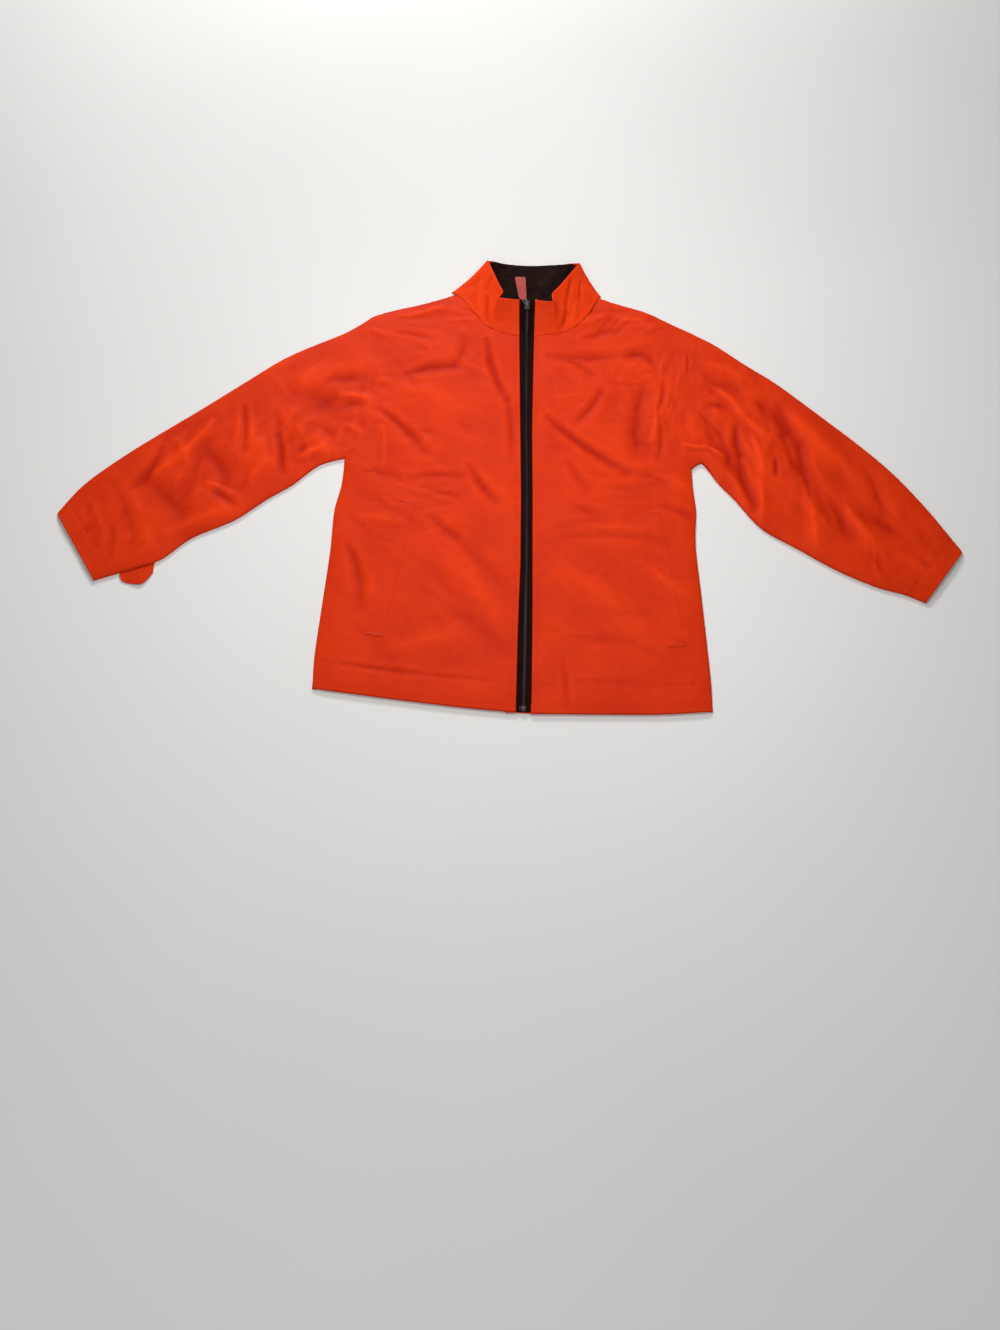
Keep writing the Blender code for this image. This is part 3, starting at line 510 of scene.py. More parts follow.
def crease(points, line, half_width, rise, lips):
    """One crease: a soft trough or ridge with lower lips of the other sign beside it."""
    result = np.zeros(len(points))
    reach = CREASE_REACH * half_width
    low, high = line.min(axis=0) - reach, line.max(axis=0) + reach
    close = np.flatnonzero(((points > low) & (points < high)).all(axis=1))
    if not len(close):
        return result
    away, place = nearest(points[close], line)
    share = place / reach_of(line)[-1]
    taper = kept(ENDS_RISE, np.sin(math.pi * np.clip(share, *ENDS_CUT)) ** SWELL)
    width = half_width * (START_WIDTH + WIDENING * share)
    soft, sharp = np.exp(-((away / width) ** 2)), np.exp(-((away / (SHARP_WIDTH * width)) ** 2))
    lip = np.exp(-(((away - LIP_PLACE * width) / (LIP_WIDTH * width)) ** 2))
    result[close] = rise * taper * (soft + SHARP_SHARE * (sharp - soft) - lips * lip)
    return result


def draw_crinkles():
    draw = np.random.default_rng(CRINKLE_SEED)
    found = []
    for x, y, spread_x, spread_y, direction, scatter, count, length, half_width, rise in CRINKLES:
        for _ in range(count):
            cx, cy = x + draw.uniform(-1, 1) * spread_x, y + draw.uniform(-1, 1) * spread_y
            angle = math.radians(direction + draw.normal() * scatter * DRAWN_SCATTER)
            half = length * draw.uniform(*DRAWN_HALF)
            dx, dy = half * math.cos(angle), half * math.sin(angle)
            deep = rise * draw.uniform(*DRAWN_RISE) * (1 if draw.random() < RIDGES else -1)
            bow = draw.normal() * half * DRAWN_BOW
            wide = half_width * draw.uniform(*DRAWN_WIDTH)
            found.append((cx - dx, cy - dy, cx + dx, cy + dy, bow, wide, deep))
    return found


CRINKLE_ROWS = draw_crinkles()


def relief(points):
    """How far the creases, crinkles and sewing move the cloth from its even height."""
    total = np.zeros(len(points))
    for rows, step, lips in ((CREASES, 1, CREASE_LIPS), (CRINKLE_ROWS, 3, CRINKLE_LIPS)):
        for *path, half_width, rise in rows:
            total += crease(points, bowed(*path)[::step], half_width * MM, rise * MM, lips)
    x, y = points.T
    for rise, x_pitch, x_bend, bend_y, y_pitch, y_bend, bend_x, start in UNEVEN:
        across = np.sin(x * x_pitch + x_bend * np.sin(y * bend_y))
        total += rise * across * np.sin(y * y_pitch + y_bend * np.sin(x * bend_x + start))
    # the puckers wander and fade unevenly along each row, and each row in its own way
    for name, line in SEWN.items():
        reach, pitch, depth = PUCKERS[name.split("_")[0]]
        away, place = nearest(points, line)
        wander = np.sin(place * 61 + len(name)) + 0.8 * np.sin(place * 143)
        wander += 0.7 * np.sin(away * 330 + place * 29)
        ripple = np.cos(2 * math.pi * place / pitch + PUCKER_STRAY * wander)
        uneven = np.sin(place * 37 + len(name) * 2) * np.sin(place * 83 + 1.1)
        fade = np.exp(-((away / (reach * PUCKER_FADE)) ** 2))
        total += depth * kept(PUCKER_EVEN, uneven) * ripple * fade
        total -= THREAD_DENT * np.exp(-((away / THREAD_DENT_WIDTH) ** 2))
    return total


def lay(points):
    """Height of the upper layer's outer face over the floor, and its relief."""
    shape = points.shape[:-1]
    points = points.reshape(-1, 2)
    arch = np.sqrt(1 - (1 - np.minimum(near(points, OUTLINE) / EDGE_ROLL, 1)) ** 2)
    hem = ease(near(points, HEM_LINES.values()) / HEM_ROLL)
    neck = ease(1 - near(points, NECK_LINES.values()) / NECK_REACH)
    full = HEM_TOP + (MIDDLE_TOP - HEM_TOP) * hem + NECK_RISE * neck
    waves = relief(points)
    height = EDGE_TOP + (full - EDGE_TOP) * arch
    height += waves * kept(EDGE_RELIEF, arch) * kept(HEM_RELIEF, hem)
    x, y = points.T
    away = np.min([abs(x - zip_edge(y, which)) for which in SIDES], axis=0)
    at_zip = zip_top(y) + ZIP_RELIEF * waves * ease(away / ZIP_RELIEF_FADE)
    sloped = at_zip + (height - at_zip) * ease(away / ZIP_SLOPE)
    height = np.where(y < ZIP_SLOPE_END_Y, sloped, height)
    return np.maximum(height, LEAST_TOP).reshape(shape), waves.reshape(shape)


UP, DOWN = (0, 0, 1), (0, 0, -1)
# How an edge ends, as steps outwards and up from the cloth's last line, in millimetres
TURNED_UNDER = np.array([
    (0.50, -0.13), (0.87, -0.50), (1.00, -1.00), (0.87, -1.50), (0.50, -1.87), (0.0, -2.0),
    (-3, -2), (-8, -2), (-13, -2),
])
ROLLED_DOWN = np.array([
    (0.45, -0.2), (0.80, -0.6), (1.00, -1.1), (1.05, -1.6), (1.00, -2.1), (0.80, -2.5),
    (0.5, -2.8), (0.2, -3.0), (-0.3, -3.1),
])
INTO_SEAM = np.array([
    (0.25, -0.03), (0.50, -0.10), (0.75, -0.25), (0.95, -0.5), (1.05, -0.8), (1.1, -1.1),
    (1.05, -1.4), (0.9, -1.6), (0.6, -1.7),
])
OFF_FLOOR = 0.0002


def finished_edge(edge, outward, profile, in_seam=None, lowest=OFF_FLOOR):
    """Lines that end a sheet, one for each step of the profile. in_seam says how far each point
    of the edge goes into a seam instead."""
    steps = np.tile(profile, (len(edge), 1, 1))
    if in_seam is not None:
        steps = steps + (INTO_SEAM - steps) * in_seam[:, None, None]
    lines = np.tile(edge, (steps.shape[1], 1, 1))
    lines[..., :2] += outward * steps[..., :1].transpose(1, 0, 2) * MM
    lines[..., 2] = np.maximum(lines[..., 2] + steps[..., 1].T * MM, lowest)
    return lines


def carried_on(values, rows=(0, 0), columns=(0, 0)):
    """The values, with their border repeated over added rows and columns."""
    return np.pad(values, (rows, columns) + ((0, 0),) * (values.ndim - 2), mode="edge")


def surface_normals(grid):
    return unit(np.cross(np.gradient(grid, axis=1), np.gradient(grid, axis=0)))


def cloth_piece(name, grid, faces, closed=False, thickness=CLOTH_THICKNESS, tone=None):
    """A layer of cloth from a grid of points on its outer face, thickened inwards. faces is the
    direction that the outer face looks, for the whole grid or for each of its points."""
    rows, columns = grid.shape[:2]
    index = np.arange(rows * columns).reshape(rows, columns)
    beside = np.roll(index, -1, axis=1)
    quads = np.stack([index[:-1], beside[:-1], beside[1:], index[1:]], axis=-1)
    if not closed:
        quads = quads[:, :-1]
    if (surface_normals(grid) * np.asarray(faces, float)).sum() < 0:
        quads = quads[..., ::-1]
    quads = quads.reshape(-1, 4)
    mesh = bpy.data.meshes.new(name)
    mesh.from_pydata(grid.reshape(-1, 3).tolist(), [], quads.tolist())
    across = np.linalg.norm(np.diff(grid, axis=1), axis=2).cumsum(axis=1)
    up = np.linalg.norm(np.diff(grid, axis=0), axis=2).cumsum(axis=0)
    u = np.pad(across, ((0, 0), (1, 0)))
    u -= u[:, columns // 2][:, None]
    v = np.pad(up, ((1, 0), (0, 0)))
    uv = np.stack([u, v], axis=-1).reshape(-1, 2)[quads.reshape(-1)]
    mesh.uv_layers.new(name="cut").data.foreach_set("uv", uv.astype(np.float32).reshape(-1))
    # the relief attribute carries the painted shade and highlight that the shell's finish reads
    values = np.zeros(rows * columns) if tone is None else np.asarray(tone).reshape(-1)
    relief_layer = mesh.attributes.new("relief", "FLOAT", "POINT")
    relief_layer.data.foreach_set("value", values.astype(np.float32))
    piece = bpy.data.objects.new(name, mesh)
    bpy.context.scene.collection.objects.link(piece)
    bpy.context.view_layer.objects.active = piece
    wall = piece.modifiers.new("wall", "SOLIDIFY")
    wall.thickness = thickness
    wall.offset = -1
    bpy.ops.object.modifier_apply(modifier="wall")
    for vertex in mesh.vertices:
        vertex.co.z = max(vertex.co.z, 0.0)
    mesh.shade_smooth()
    return piece


def dressed(piece, finish, node):
    """Gives a piece of the jacket its finish, hangs it on the jacket's body and hides the solid
    that it stands for.
    """
    piece.data.materials.append(finish)
    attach(piece, "jacket")
    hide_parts(node)
    return piece


def bumped(finish, height, strength, distance, under=None):
    """Fine bumps on the finish, on top of other bumps if under gives their output."""
    inputs = {"Height": height, "Strength": strength, "Distance": distance}
    if under is not None:
        inputs["Normal"] = under
    normal = new_node(finish, "Bump", inputs).outputs["Normal"]
    feed(finish, "Normal", normal)
    return normal


def shell_finish():
    """Tightly woven, faintly shining shell cloth: plain weave, fine crush, painted crease shade and
    ridge highlight.
    """
    finish = new_finish("shell_cloth_finish", {"Specular IOR Level": 0.07})
    cut = new_node(finish, "UVMap", {}, uv_map="cut").outputs["UV"]

    def scaled(value, factor, more):
        inputs = {0: value, 1: factor, 2: more}
        return new_node(finish, "Math", inputs, operation="MULTIPLY_ADD").outputs[0]

    # painted highlight on ridges, painted shade in creases, slow mottling and small blotches
    blotch = grain(finish, 55.0)
    painted_shade_and_highlight = new_node(finish, "Attribute", {}, attribute_name="relief").outputs["Fac"]
    tone = scaled(painted_shade_and_highlight, 0.42, 0.27)
    tone = scaled(grain(finish, 9.0, 3.0), 0.30, tone)
    tone = scaled(blotch, 0.16, tone)
    coloured(finish, tone, (0.45, 0.0125, 0.0008), (0.84, 0.0490, 0.0036))
    feed(finish, "Roughness", scaled(blotch, 0.18, 0.50))
    thread = {"Vector": cut, "Scale": 560.0, "Distortion": 0.6, "Detail Scale": 2.0}
    warp, weft = (
        new_node(finish, "TexWave", thread, wave_type="BANDS", bands_direction=way).outputs["Fac"]
        for way in ("X", "Y")
    )
    weave = bumped(finish, scaled(warp, weft, 0.0), 0.22, 0.00012)
    bumped(finish, grain(finish, 95.0, 4.0), 0.45, 0.0014, under=weave)
    return finish


SHELL = shell_finish()
# How deep a crease is for the full painted shade, and the limits of the painted shade and highlight
DEEP_RELIEF, PAINTED_SHADING_LIMITS = 0.0023, (-1.3, 1.0)


def painted_shading(waves):
    """Relief as the finish reads it for painted light: about -1, painted shade, in a deep crease
    and 1, painted highlight, on a ridge.
    """
    return np.clip(waves / DEEP_RELIEF, *PAINTED_SHADING_LIMITS)


LOW_ROWS, ARM_ROWS, NECK_ROWS, FRONT_COLUMNS, FRONT_CLUSTER = 168, 80, 54, 120, 0.62
ARM_START_Y = plan((0, 80))[1]
# Over how many rows an edge changes from rolled or turned to sewn in
SEAM_BLEND, NECK_BLEND = 6, 4
# How far up and down the hem's and the shoulder's own lines bend a front's rows
HEM_BEND_ROWS, SHOULDER_BEND_ROWS = 0.42 * LOW_ROWS, 0.9 * NECK_ROWS


def clustered(count, amount):
    """Shares from 0 to 1 that lie closer together at both ends."""
    t = np.linspace(0, 1, count + 1)
    return t - amount * np.sin(2 * math.pi * t) / (2 * math.pi)


def front_panel(which):
    """Plan points of a front: rows from hem to shoulder, columns from zip and neck to the side."""
    low = np.linspace(HEM_LINES[which][0, 1] + TURN, ARM_START_Y, LOW_ROWS + 1)
    y = np.concatenate([low, np.linspace(ARM_START_Y, NECK_START_Y, ARM_ROWS + 1)[1:]])
    straight = np.stack([zip_edge(y, which) + OUTWARD[which] * TURN, y], axis=1)
    neck = drawn(NECK[which], NECK_ROWS)
    neck[:, 0] += OUTWARD[which] * TURN * np.linspace(1, 0, NECK_ROWS + 1)
    inner = np.concatenate([straight, neck[1:]])
    arm = drawn(ARMHOLE[which], ARM_ROWS + NECK_ROWS)
    outer = np.concatenate([drawn(SIDE[which], LOW_ROWS), arm[1:]])
    shares = clustered(FRONT_COLUMNS, FRONT_CLUSTER)
    hem = at_shares(smooth_line(plan(HEM[which])), shares) + (0, TURN)
    top = at_shares(smooth_line(plan(SHOULDER[which])), shares)
    grid = inner[:, None] + (outer - inner)[:, None] * shares[None, :, None]
    row = np.arange(len(inner))
    low = ease(1 - row / HEM_BEND_ROWS)[:, None, None]
    high = ease(1 - row[::-1] / SHOULDER_BEND_ROWS)[:, None, None]
    grid += low * (hem - grid[0])[None] + high * (top - grid[-1])[None]
    return grid


def make_front(which):
    flat = front_panel(which)
    height, waves = lay(flat)
    grid = np.dstack([flat, height])
    row, neck_row = np.arange(len(flat)), LOW_ROWS + ARM_ROWS
    # the side seam rolls down to the back, the armhole goes into its seam
    outward = -sideways(flat[:, -1], BODY_MIDDLE)
    outward[: LOW_ROWS // 2] = (OUTWARD[which], 0)
    in_armhole = ease((row - LOW_ROWS + SEAM_BLEND / 2) / SEAM_BLEND)
    outer = finished_edge(grid[:, -1], outward, ROLLED_DOWN, in_armhole)
    # the zip edge is turned under, the neck goes into its seam
    inward = np.tile((-float(OUTWARD[which]), 0.0), (len(flat), 1))
    neck_side = -sideways(flat[neck_row:, 0], BODY_MIDDLE)
    bend = ease(np.arange(len(neck_side)) / SEAM_BLEND)[:, None]
    inward[neck_row:] = inward[neck_row:] * (1 - bend) + neck_side * bend
    at_neck = ease((row - neck_row) / NECK_BLEND)
    inner = finished_edge(grid[:, 0], unit(inward), TURNED_UNDER, at_neck)
    grid = np.concatenate([inner[::-1].transpose(1, 0, 2), grid, outer.transpose(1, 0, 2)], axis=1)
    # the hem is turned under, the shoulder rolls down to the back
    extra = len(inner), len(outer)
    hem = finished_edge(grid[0], (0.0, -1.0), TURNED_UNDER)
    hem[:, : extra[0], 2] = np.minimum(hem[:, : extra[0], 2], grid[0, : extra[0], 2])
    shoulder_out = carried_on(-sideways(flat[-1], BODY_MIDDLE), rows=extra)
    shoulder = finished_edge(grid[-1], shoulder_out, ROLLED_DOWN)
    grid = np.concatenate([hem[::-1], grid, shoulder])
    # painted shade in the creases and painted highlight on the ridges, carried over the edges
    tone = carried_on(painted_shading(waves), rows=(len(hem), len(shoulder)), columns=extra)
    piece = cloth_piece("shell_front_" + which, grid, UP, tone=tone)
    return dressed(piece, SHELL, "front_" + which)


fronts = {which: make_front(which) for which in SIDES}

# ---------------------------------------------------------------- shell cloth: the two sleeves
# Each sleeve is one piece sewn into a tube and lying flattened, its upper and lower layer on
# each other. Its head goes into the armhole seam and its cuff is turned in and sewn.
SLEEVE_ROWS, SLEEVE_HALF = 184, 34
SLEEVE_BEYOND = {"left": (-600, 100), "right": (700, 100)}
HEAD_CLEAR, HEAD_FADE_SHARE, HEAD_FADE = 0.0003, 8 / 22, 1.6
EDGE_STEPS = MM * np.array((0.0, 0.15, 0.5, 1.0, 1.75, 2.8, 4.2, 6.0, 8.5, 11.5, 15.0, 19.0, 23.5))
EDGE_MIDDLE = EDGE_TOP / 2
# The lower layer has creases of its own, at other places than the upper one, and a weaker copy of
# the upper layer's painted shade and highlight
UNDER_CREASE, UNDER_PAINTED_SHADING, UNDER_SHIFT = 0.30, 0.3, (0.013, 0.04)
UNDER_RIM, UNDER_BLEND = 0.006, 0.02
# The head and the cuff end in steps outwards and towards the layers' middle, in millimetres,
# up to this share of the way to it
MOST_CLOSED = 0.85
HEAD_STEPS = ((0.3, 1.4), (0.4, 0.9), (0.4, 0.4), (0.3, 0.12), (0.15, 0.03))
CUFF_STEPS = (
    (0.5, 0.13), (0.87, 0.5), (1.0, 1.0), (0.87, 1.5), (0.5, 1.8),
    (-1, 1.9), (-6, 1.9), (-14, 1.9), (-22, 1.9),
)


def edge_round(away):
    """Height over the middle of a folded edge of half the edge's thickness."""
    return EDGE_MIDDLE * np.sqrt(1 - np.clip(1 - away / EDGE_MIDDLE, 0, 1) ** 2)


def towards_middle(row, outward, steps):
    """Lines that end a flattened tube: both layers come nearer to each other."""
    lines = []
    for out, deep in steps:
        line = row.copy()
        line[:, :2] += outward * out * MM
        over = line[:, 2] - EDGE_MIDDLE
        line[:, 2] -= np.sign(over) * np.minimum(abs(over) * MOST_CLOSED, deep * MM)
        lines.append(line)
    return lines


def make_sleeve(which):
    upper = drawn(SLEEVE_UPPER[which], SLEEVE_ROWS)
    lower = drawn(SLEEVE_LOWER[which], SLEEVE_ROWS)
    arm = smooth_line(plan(ARMHOLE[which])[::-1])
    arm += sideways(arm, plan(SLEEVE_BEYOND[which])) * HEAD_CLEAR
    flat, across = [], []
    for i, (start, end) in enumerate(zip(upper, lower)):
        width = np.linalg.norm(end - start)
        ends = EDGE_STEPS / width
        inside = np.linspace(ends[-1], 1 - ends[-1], 2 * SLEEVE_HALF + 1)[1:-1]
        shares = np.concatenate([ends, inside, 1 - ends[::-1]])
        fade = max(0.0, 1 - i / (HEAD_FADE_SHARE * SLEEVE_ROWS)) ** HEAD_FADE
        bulge = at_shares(arm, shares) - arm[0] - (arm[-1] - arm[0]) * shares[:, None]
        flat.append(start + (end - start) * shares[:, None] + bulge * fade)
        across.append(shares * width)
    flat, across = np.array(flat), np.array(across)
    height, waves = lay(flat)
    away = np.minimum(across, across[:, -1:] - across)
    top = height - EDGE_TOP + EDGE_MIDDLE + edge_round(away)
    # the lower layer is flat on the floor, lifted a little where it creases
    under = (flat * (1.0, -1.0) + UNDER_SHIFT).reshape(-1, 2)
    lift = np.maximum(relief(under).reshape(away.shape), 0) * UNDER_CREASE
    low = EDGE_MIDDLE - edge_round(away) + lift * ease((away - UNDER_RIM) / UNDER_BLEND)
    inside = slice(1, -1)
    lower_layer = np.dstack([flat, low])[:, inside][:, ::-1]
    ring = np.concatenate([np.dstack([flat, top]), lower_layer], axis=1)
    # painted shade in the creases and painted highlight on the ridges; the lower layer takes a
    # weaker copy
    tone = painted_shading(waves)
    tone = np.concatenate([tone, tone[:, inside][:, ::-1] * UNDER_PAINTED_SHADING], axis=1)
    head_out = sideways(flat[0], BODY_MIDDLE)
    head_out = np.concatenate([head_out, head_out[inside][::-1]])
    head = towards_middle(ring[0], head_out, HEAD_STEPS)
    # the cuff's turn stays inside the sleeve's length
    cuff_out = unit((upper[-1] + lower[-1]) - (upper[-2] + lower[-2]))
    ring[-1, :, :2] -= cuff_out * TURN
    cuff = towards_middle(ring[-1], cuff_out, CUFF_STEPS)
    ring = np.concatenate([np.array(head), ring, np.array(cuff)])
    looks = np.zeros_like(ring)
    looks[:, : flat.shape[1], 2] = 1
    tone = carried_on(tone, rows=(len(head), len(cuff)))
    piece = cloth_piece("shell_sleeve_" + which, ring, looks, closed=True, tone=tone)
    return dressed(piece, SHELL, "sleeve_" + which)


sleeves = {which: make_sleeve(which) for which in SIDES}

# ---------------------------------------------------------------- shell cloth: the back
# The back is one cut piece, flat on the floor under the fronts; its edges lie just inside
# theirs, its hem is turned up inside, and its neck is sewn to the collar.
BACK_NECK = [(-76, 404), (-20, 388), (46, 382), (118, 386), (173, 396)]
BACK_INSET = 0.0012
BACK_ROWS, BACK_SIDE_ROWS, BACK_COLUMNS, BACK_SHOULDER_COLUMNS = 110, 64, 96, 24
# Last on this line: how much painted shade and highlight the back's creases keep
BACK_SHIFT, BACK_CREASE, BACK_LIFT, BACK_RIM, BACK_PAINTED_SHADING = (0.02, 0.03), 0.35, 0.0009, 6, 0.4
TURNED_UP = (
    (0.5, 0.1), (0.87, 0.4), (1.0, 0.9), (0.87, 1.4), (0.5, 1.7),
    (0, 1.8), (-6, 1.8), (-14, 1.8), (-24, 1.8),
)


def make_back():
    edges = []
    for which in SIDES:
        arm = drawn(ARMHOLE[which], BACK_ROWS - BACK_SIDE_ROWS)
        edge = np.concatenate([drawn(SIDE[which], BACK_SIDE_ROWS), arm[1:]])
        edges.append(edge + sideways(edge, BODY_MIDDLE) * BACK_INSET)
    hem = np.concatenate([smooth_line(plan(HEM["left"]))[::-1], smooth_line(plan(HEM["right"]))])
    hem = even(hem, BACK_COLUMNS) + (0, TURN)
    shoulders = [drawn(SHOULDER[which], BACK_SHOULDER_COLUMNS) for which in SIDES]
    neck = drawn(BACK_NECK, BACK_COLUMNS - 2 * BACK_SHOULDER_COLUMNS)
    top = np.concatenate([shoulders[0][:0:-1], neck[:-1], shoulders[1]]) - (0, BACK_INSET)
    for line, end in ((hem, 0), (top, -1)):
        line[0], line[-1] = edges[0][end], edges[1][end]
    u = np.linspace(0, 1, BACK_COLUMNS + 1)[None, :, None]
    v = np.linspace(0, 1, BACK_ROWS + 1)[:, None, None]
    left, right = edges[0][:, None], edges[1][:, None]
    corners = (1 - v) * ((1 - u) * hem[0] + u * hem[-1]) + v * ((1 - u) * top[0] + u * top[-1])
    flat = (1 - u) * left + u * right + (1 - v) * hem[None] + v * top[None] - corners
    mirrored = (flat * (-1.0, 1.0) + BACK_SHIFT).reshape(-1, 2)
    waves = relief(mirrored).reshape(flat.shape[:2])
    rims = [ease(np.minimum(row, row[::-1]) / BACK_RIM) for row in map(np.arange, flat.shape[:2])]
    lift = np.clip(waves * BACK_CREASE, 0, BACK_LIFT) * rims[0][:, None] * rims[1][None]
    grid = np.dstack([flat, lift])
    hem_lines = finished_edge(grid[0], (0.0, -1.0), TURNED_UP, lowest=0.0)
    grid = np.concatenate([hem_lines[::-1], grid])
    # painted shade in the back's creases and painted highlight on its ridges, weakened
    tone = carried_on(painted_shading(waves) * BACK_PAINTED_SHADING, rows=(len(hem_lines), 0))
    piece = cloth_piece("shell_back", grid, DOWN, tone=tone)
    return dressed(piece, SHELL, "back")


back = make_back()

# ---------------------------------------------------------------- stand collar and its lining
# The collar is a band of shell cloth with a dark lining inside, sewn to the neck. It stands
# open beside the zip, folds sharply at two corners and lies back behind them.
COLLAR_TOP = {
    "left": [(33, 364, 38), (12, 366, 39), (-3, 369, 40), (4, 381, 37), (-3, 405, 35),
             (-13, 433, 35), (-21, 454, 35)],
    "right": [(60, 364, 38), (79, 360, 39), (94, 357, 40), (88, 374, 37), (106, 402, 35),
              (124, 428, 35), (137, 447, 35)],
}
# At a corner: the seam's height, and the top line's x, y and height
COLLAR_FOLD = {
    "left": [(6.0, -21, 456, 34), (3.2, -22, 460, 30), (0.6, -15, 464, 24)],
    "right": [(6.0, 138, 449, 34), (3.2, 139, 454, 30), (0.6, 132, 459, 24)],
}
COLLAR_TOP_BACK = [
    (-15, 464, 24), (6, 465, 15), (30, 466, 9), (58, 467, 6), (88, 466, 9), (112, 463, 15),
    (132, 459, 24),
]
# Small folds of the band: share of its length, share of its height, both ends; half width;
# rise. Their lips have the share of the rise that is given below them.
COLLAR_CREASES = [
    (0.162, 0.50, 0.108, 0.02, 6.0, -2.6),
    (0.235, 0.66, 0.180, 0.25, 5.5, 2.0),
    (0.186, 0.62, 0.206, 0.95, 4.5, -1.5),
    (0.262, 0.25, 0.240, 0.60, 6.0, -1.2),
    (0.040, 0.30, 0.085, 0.12, 7.0, 0.9),
    (0.752, 0.66, 0.795, 0.42, 4.0, -2.0),
    (0.783, 0.90, 0.857, 0.59, 4.2, -2.4),
    (0.857, 0.59, 0.876, 0.41, 4.2, -1.8),
    (0.876, 0.41, 0.914, 0.16, 5.0, -2.2),
    (0.829, 0.40, 0.871, 0.12, 5.5, 1.9),
    (0.728, 0.12, 0.758, 0.52, 9.0, 1.5),
    (0.905, 0.92, 0.918, 0.62, 5.0, -1.2),
    (0.950, 0.20, 0.975, 0.60, 8.0, 0.8),
    (0.330, 0.10, 0.420, 0.70, 8.0, 0.9),
    (0.520, 0.60, 0.640, 0.20, 8.0, -0.9),
    (0.450, 0.80, 0.560, 0.90, 6.0, 0.8),
]
COLLAR_LIPS = 0.3
# Puckers along the band's seam and its top: how far they reach; rise, rate, how far they stray
# and the rate of that
BAND_PUCKERS = [(0.009, 0.00035, 260, 1.4, 91), (0.008, 0.00025, 300, 1.1, 70)]
# Shares of the band's height and length over which its relief fades towards its edges, and how
# much of it stays at the top and at the ends
SEAM_FADE, TOP_FADE, TOP_KEPT, ENDS_FADE, ENDS_KEPT = 0.10, 0.08, 0.4, 0.02, 0.3
COLLAR_COLUMNS, COLLAR_ROWS = 210, 22
COLLAR_FRONT_STATIONS, COLLAR_BACK_STATIONS, COLLAR_CLEAR = 7, 12, 0.0006
# How far round a corner the seam goes on each side of it, and how far out at the corner itself
CORNER_BEFORE, CORNER_AFTER, CORNER_OUT, CORNER_UP = 0.15, 0.12, 0.0015, 0.0030
COLLAR_HEIGHT, COLLAR_BOW, LIES_FLAT = 0.060, 1.3, 0.004
# Where the band folds, its foot spreads over the shoulder: share of its length, reach in x, y, z
COLLAR_FLARES = [(0.278, (-8.0, 1.0, 1.6)), (0.706, (2.5, 0.5, 1.0))]
FLARE_HALF, FLARE_FADE = 0.020, 2.2
# The folded edge as steps out and in, for a fold of one millimetre; it is thinner at the back
FOLD = [(0.5, 0.13), (0.87, 0.5), (1.0, 1.0), (0.87, 1.5), (0.5, 1.87), (0.0, 2.0)]
COLLAR_TURN, COLLAR_THINNER, COLLAR_SEAM_DEPTHS = 0.0013, 0.66, (0.0015, 0.0009, 0.0004)
# The band's colour is painted paler than the rest of the shell, as painted light where the lamp
# leaves the standing band in shade
COLLAR_PAINTED_LIGHT = 0.85
LINING_DEPTH, LINING_THICKNESS, LINING_LEAST = 0.0011, 0.0006, 0.0012
# The lining ends this far below the turned top, and a little over it where the band lies flat
LINING_BELOW, LINING_OVER, LINING_ENDS = 0.0014, 0.0002, slice(3, -3)


def space(rows):
    """Points of the plan with their heights, in metres."""
    rows = np.array(rows, float)
    return np.column_stack([plan(rows[:, :2]), rows[:, 2] * MM])


def collar_ends():
    """The band's seam line and top line, from the zip's left edge round to its right edge."""
    beyond = plan((45, 700))
    behind = drawn(BACK_NECK, COLLAR_BACK_STATIONS)
    behind += sideways(behind, beyond) * COLLAR_CLEAR
    back_top = even(smooth_line(space(COLLAR_TOP_BACK)), COLLAR_BACK_STATIONS)
    base, top = {}, {}
    for which, back_end in zip(SIDES, (behind[:2], behind[:-3:-1])):
        seam = drawn(NECK[which], COLLAR_FRONT_STATIONS)
        inside = seam + sideways(seam, beyond) * COLLAR_CLEAR
        height, _ = lay(seam[:-1])
        height[0] = zip_top(seam[0, 1])
        corners = [
            inside[-1] + (inside[-2] - inside[-1]) * CORNER_BEFORE,
            seam[-1] + (OUTWARD[which] * CORNER_OUT, CORNER_UP),
            back_end[0] + (back_end[1] - back_end[0]) * CORNER_AFTER,
        ]
        fold = np.array(COLLAR_FOLD[which])
        front = np.column_stack([inside[:-1], height])
        base[which] = np.concatenate([front, np.column_stack([corners, fold[:, 0] * MM])])
        front_top = even(smooth_line(space(COLLAR_TOP[which])), COLLAR_FRONT_STATIONS)
        top[which] = np.concatenate([front_top[:-1], space(fold[:, 1:])])
    back_base = np.column_stack([behind[1:-1], np.zeros(len(behind) - 2)])
    base = np.concatenate([base["left"], back_base, base["right"][::-1]])
    top = np.concatenate([top["left"], back_top[1:-1], top["right"][::-1]])
    return base, top


def collar_band():
    """The outer face of the band, rows from seam to top, with its outward directions."""
    base, top = collar_ends()
    stations = smooth_line(np.column_stack([base, top]))
    reach = reach_of((stations[:, :3] + stations[:, 3:]) / 2)
    along = np.linspace(0, 1, COLLAR_COLUMNS + 1)
    line = at_reach(stations, along * reach[-1], reach)
    up = np.linspace(0, 1, COLLAR_ROWS + 1)[:, None, None]
    low, high = line[None, :, :3], line[None, :, 3:]
    grid = low + (high - low) * up
    grid[..., 2] -= np.maximum(high[..., 2] - low[..., 2], 0) * (up - up**COLLAR_BOW)[..., 0]
    for share, flare in COLLAR_FLARES:
        beside = np.exp(-(((along - share) / FLARE_HALF) ** 2))[None, :, None]
        grid += np.array(flare) * MM * beside * (1 - up) ** FLARE_FADE
    normal = surface_normals(grid)
    if normal[COLLAR_ROWS // 2, COLLAR_COLUMNS // 8, 1] > 0:
        normal = -normal
    return grid, normal, reach[-1]


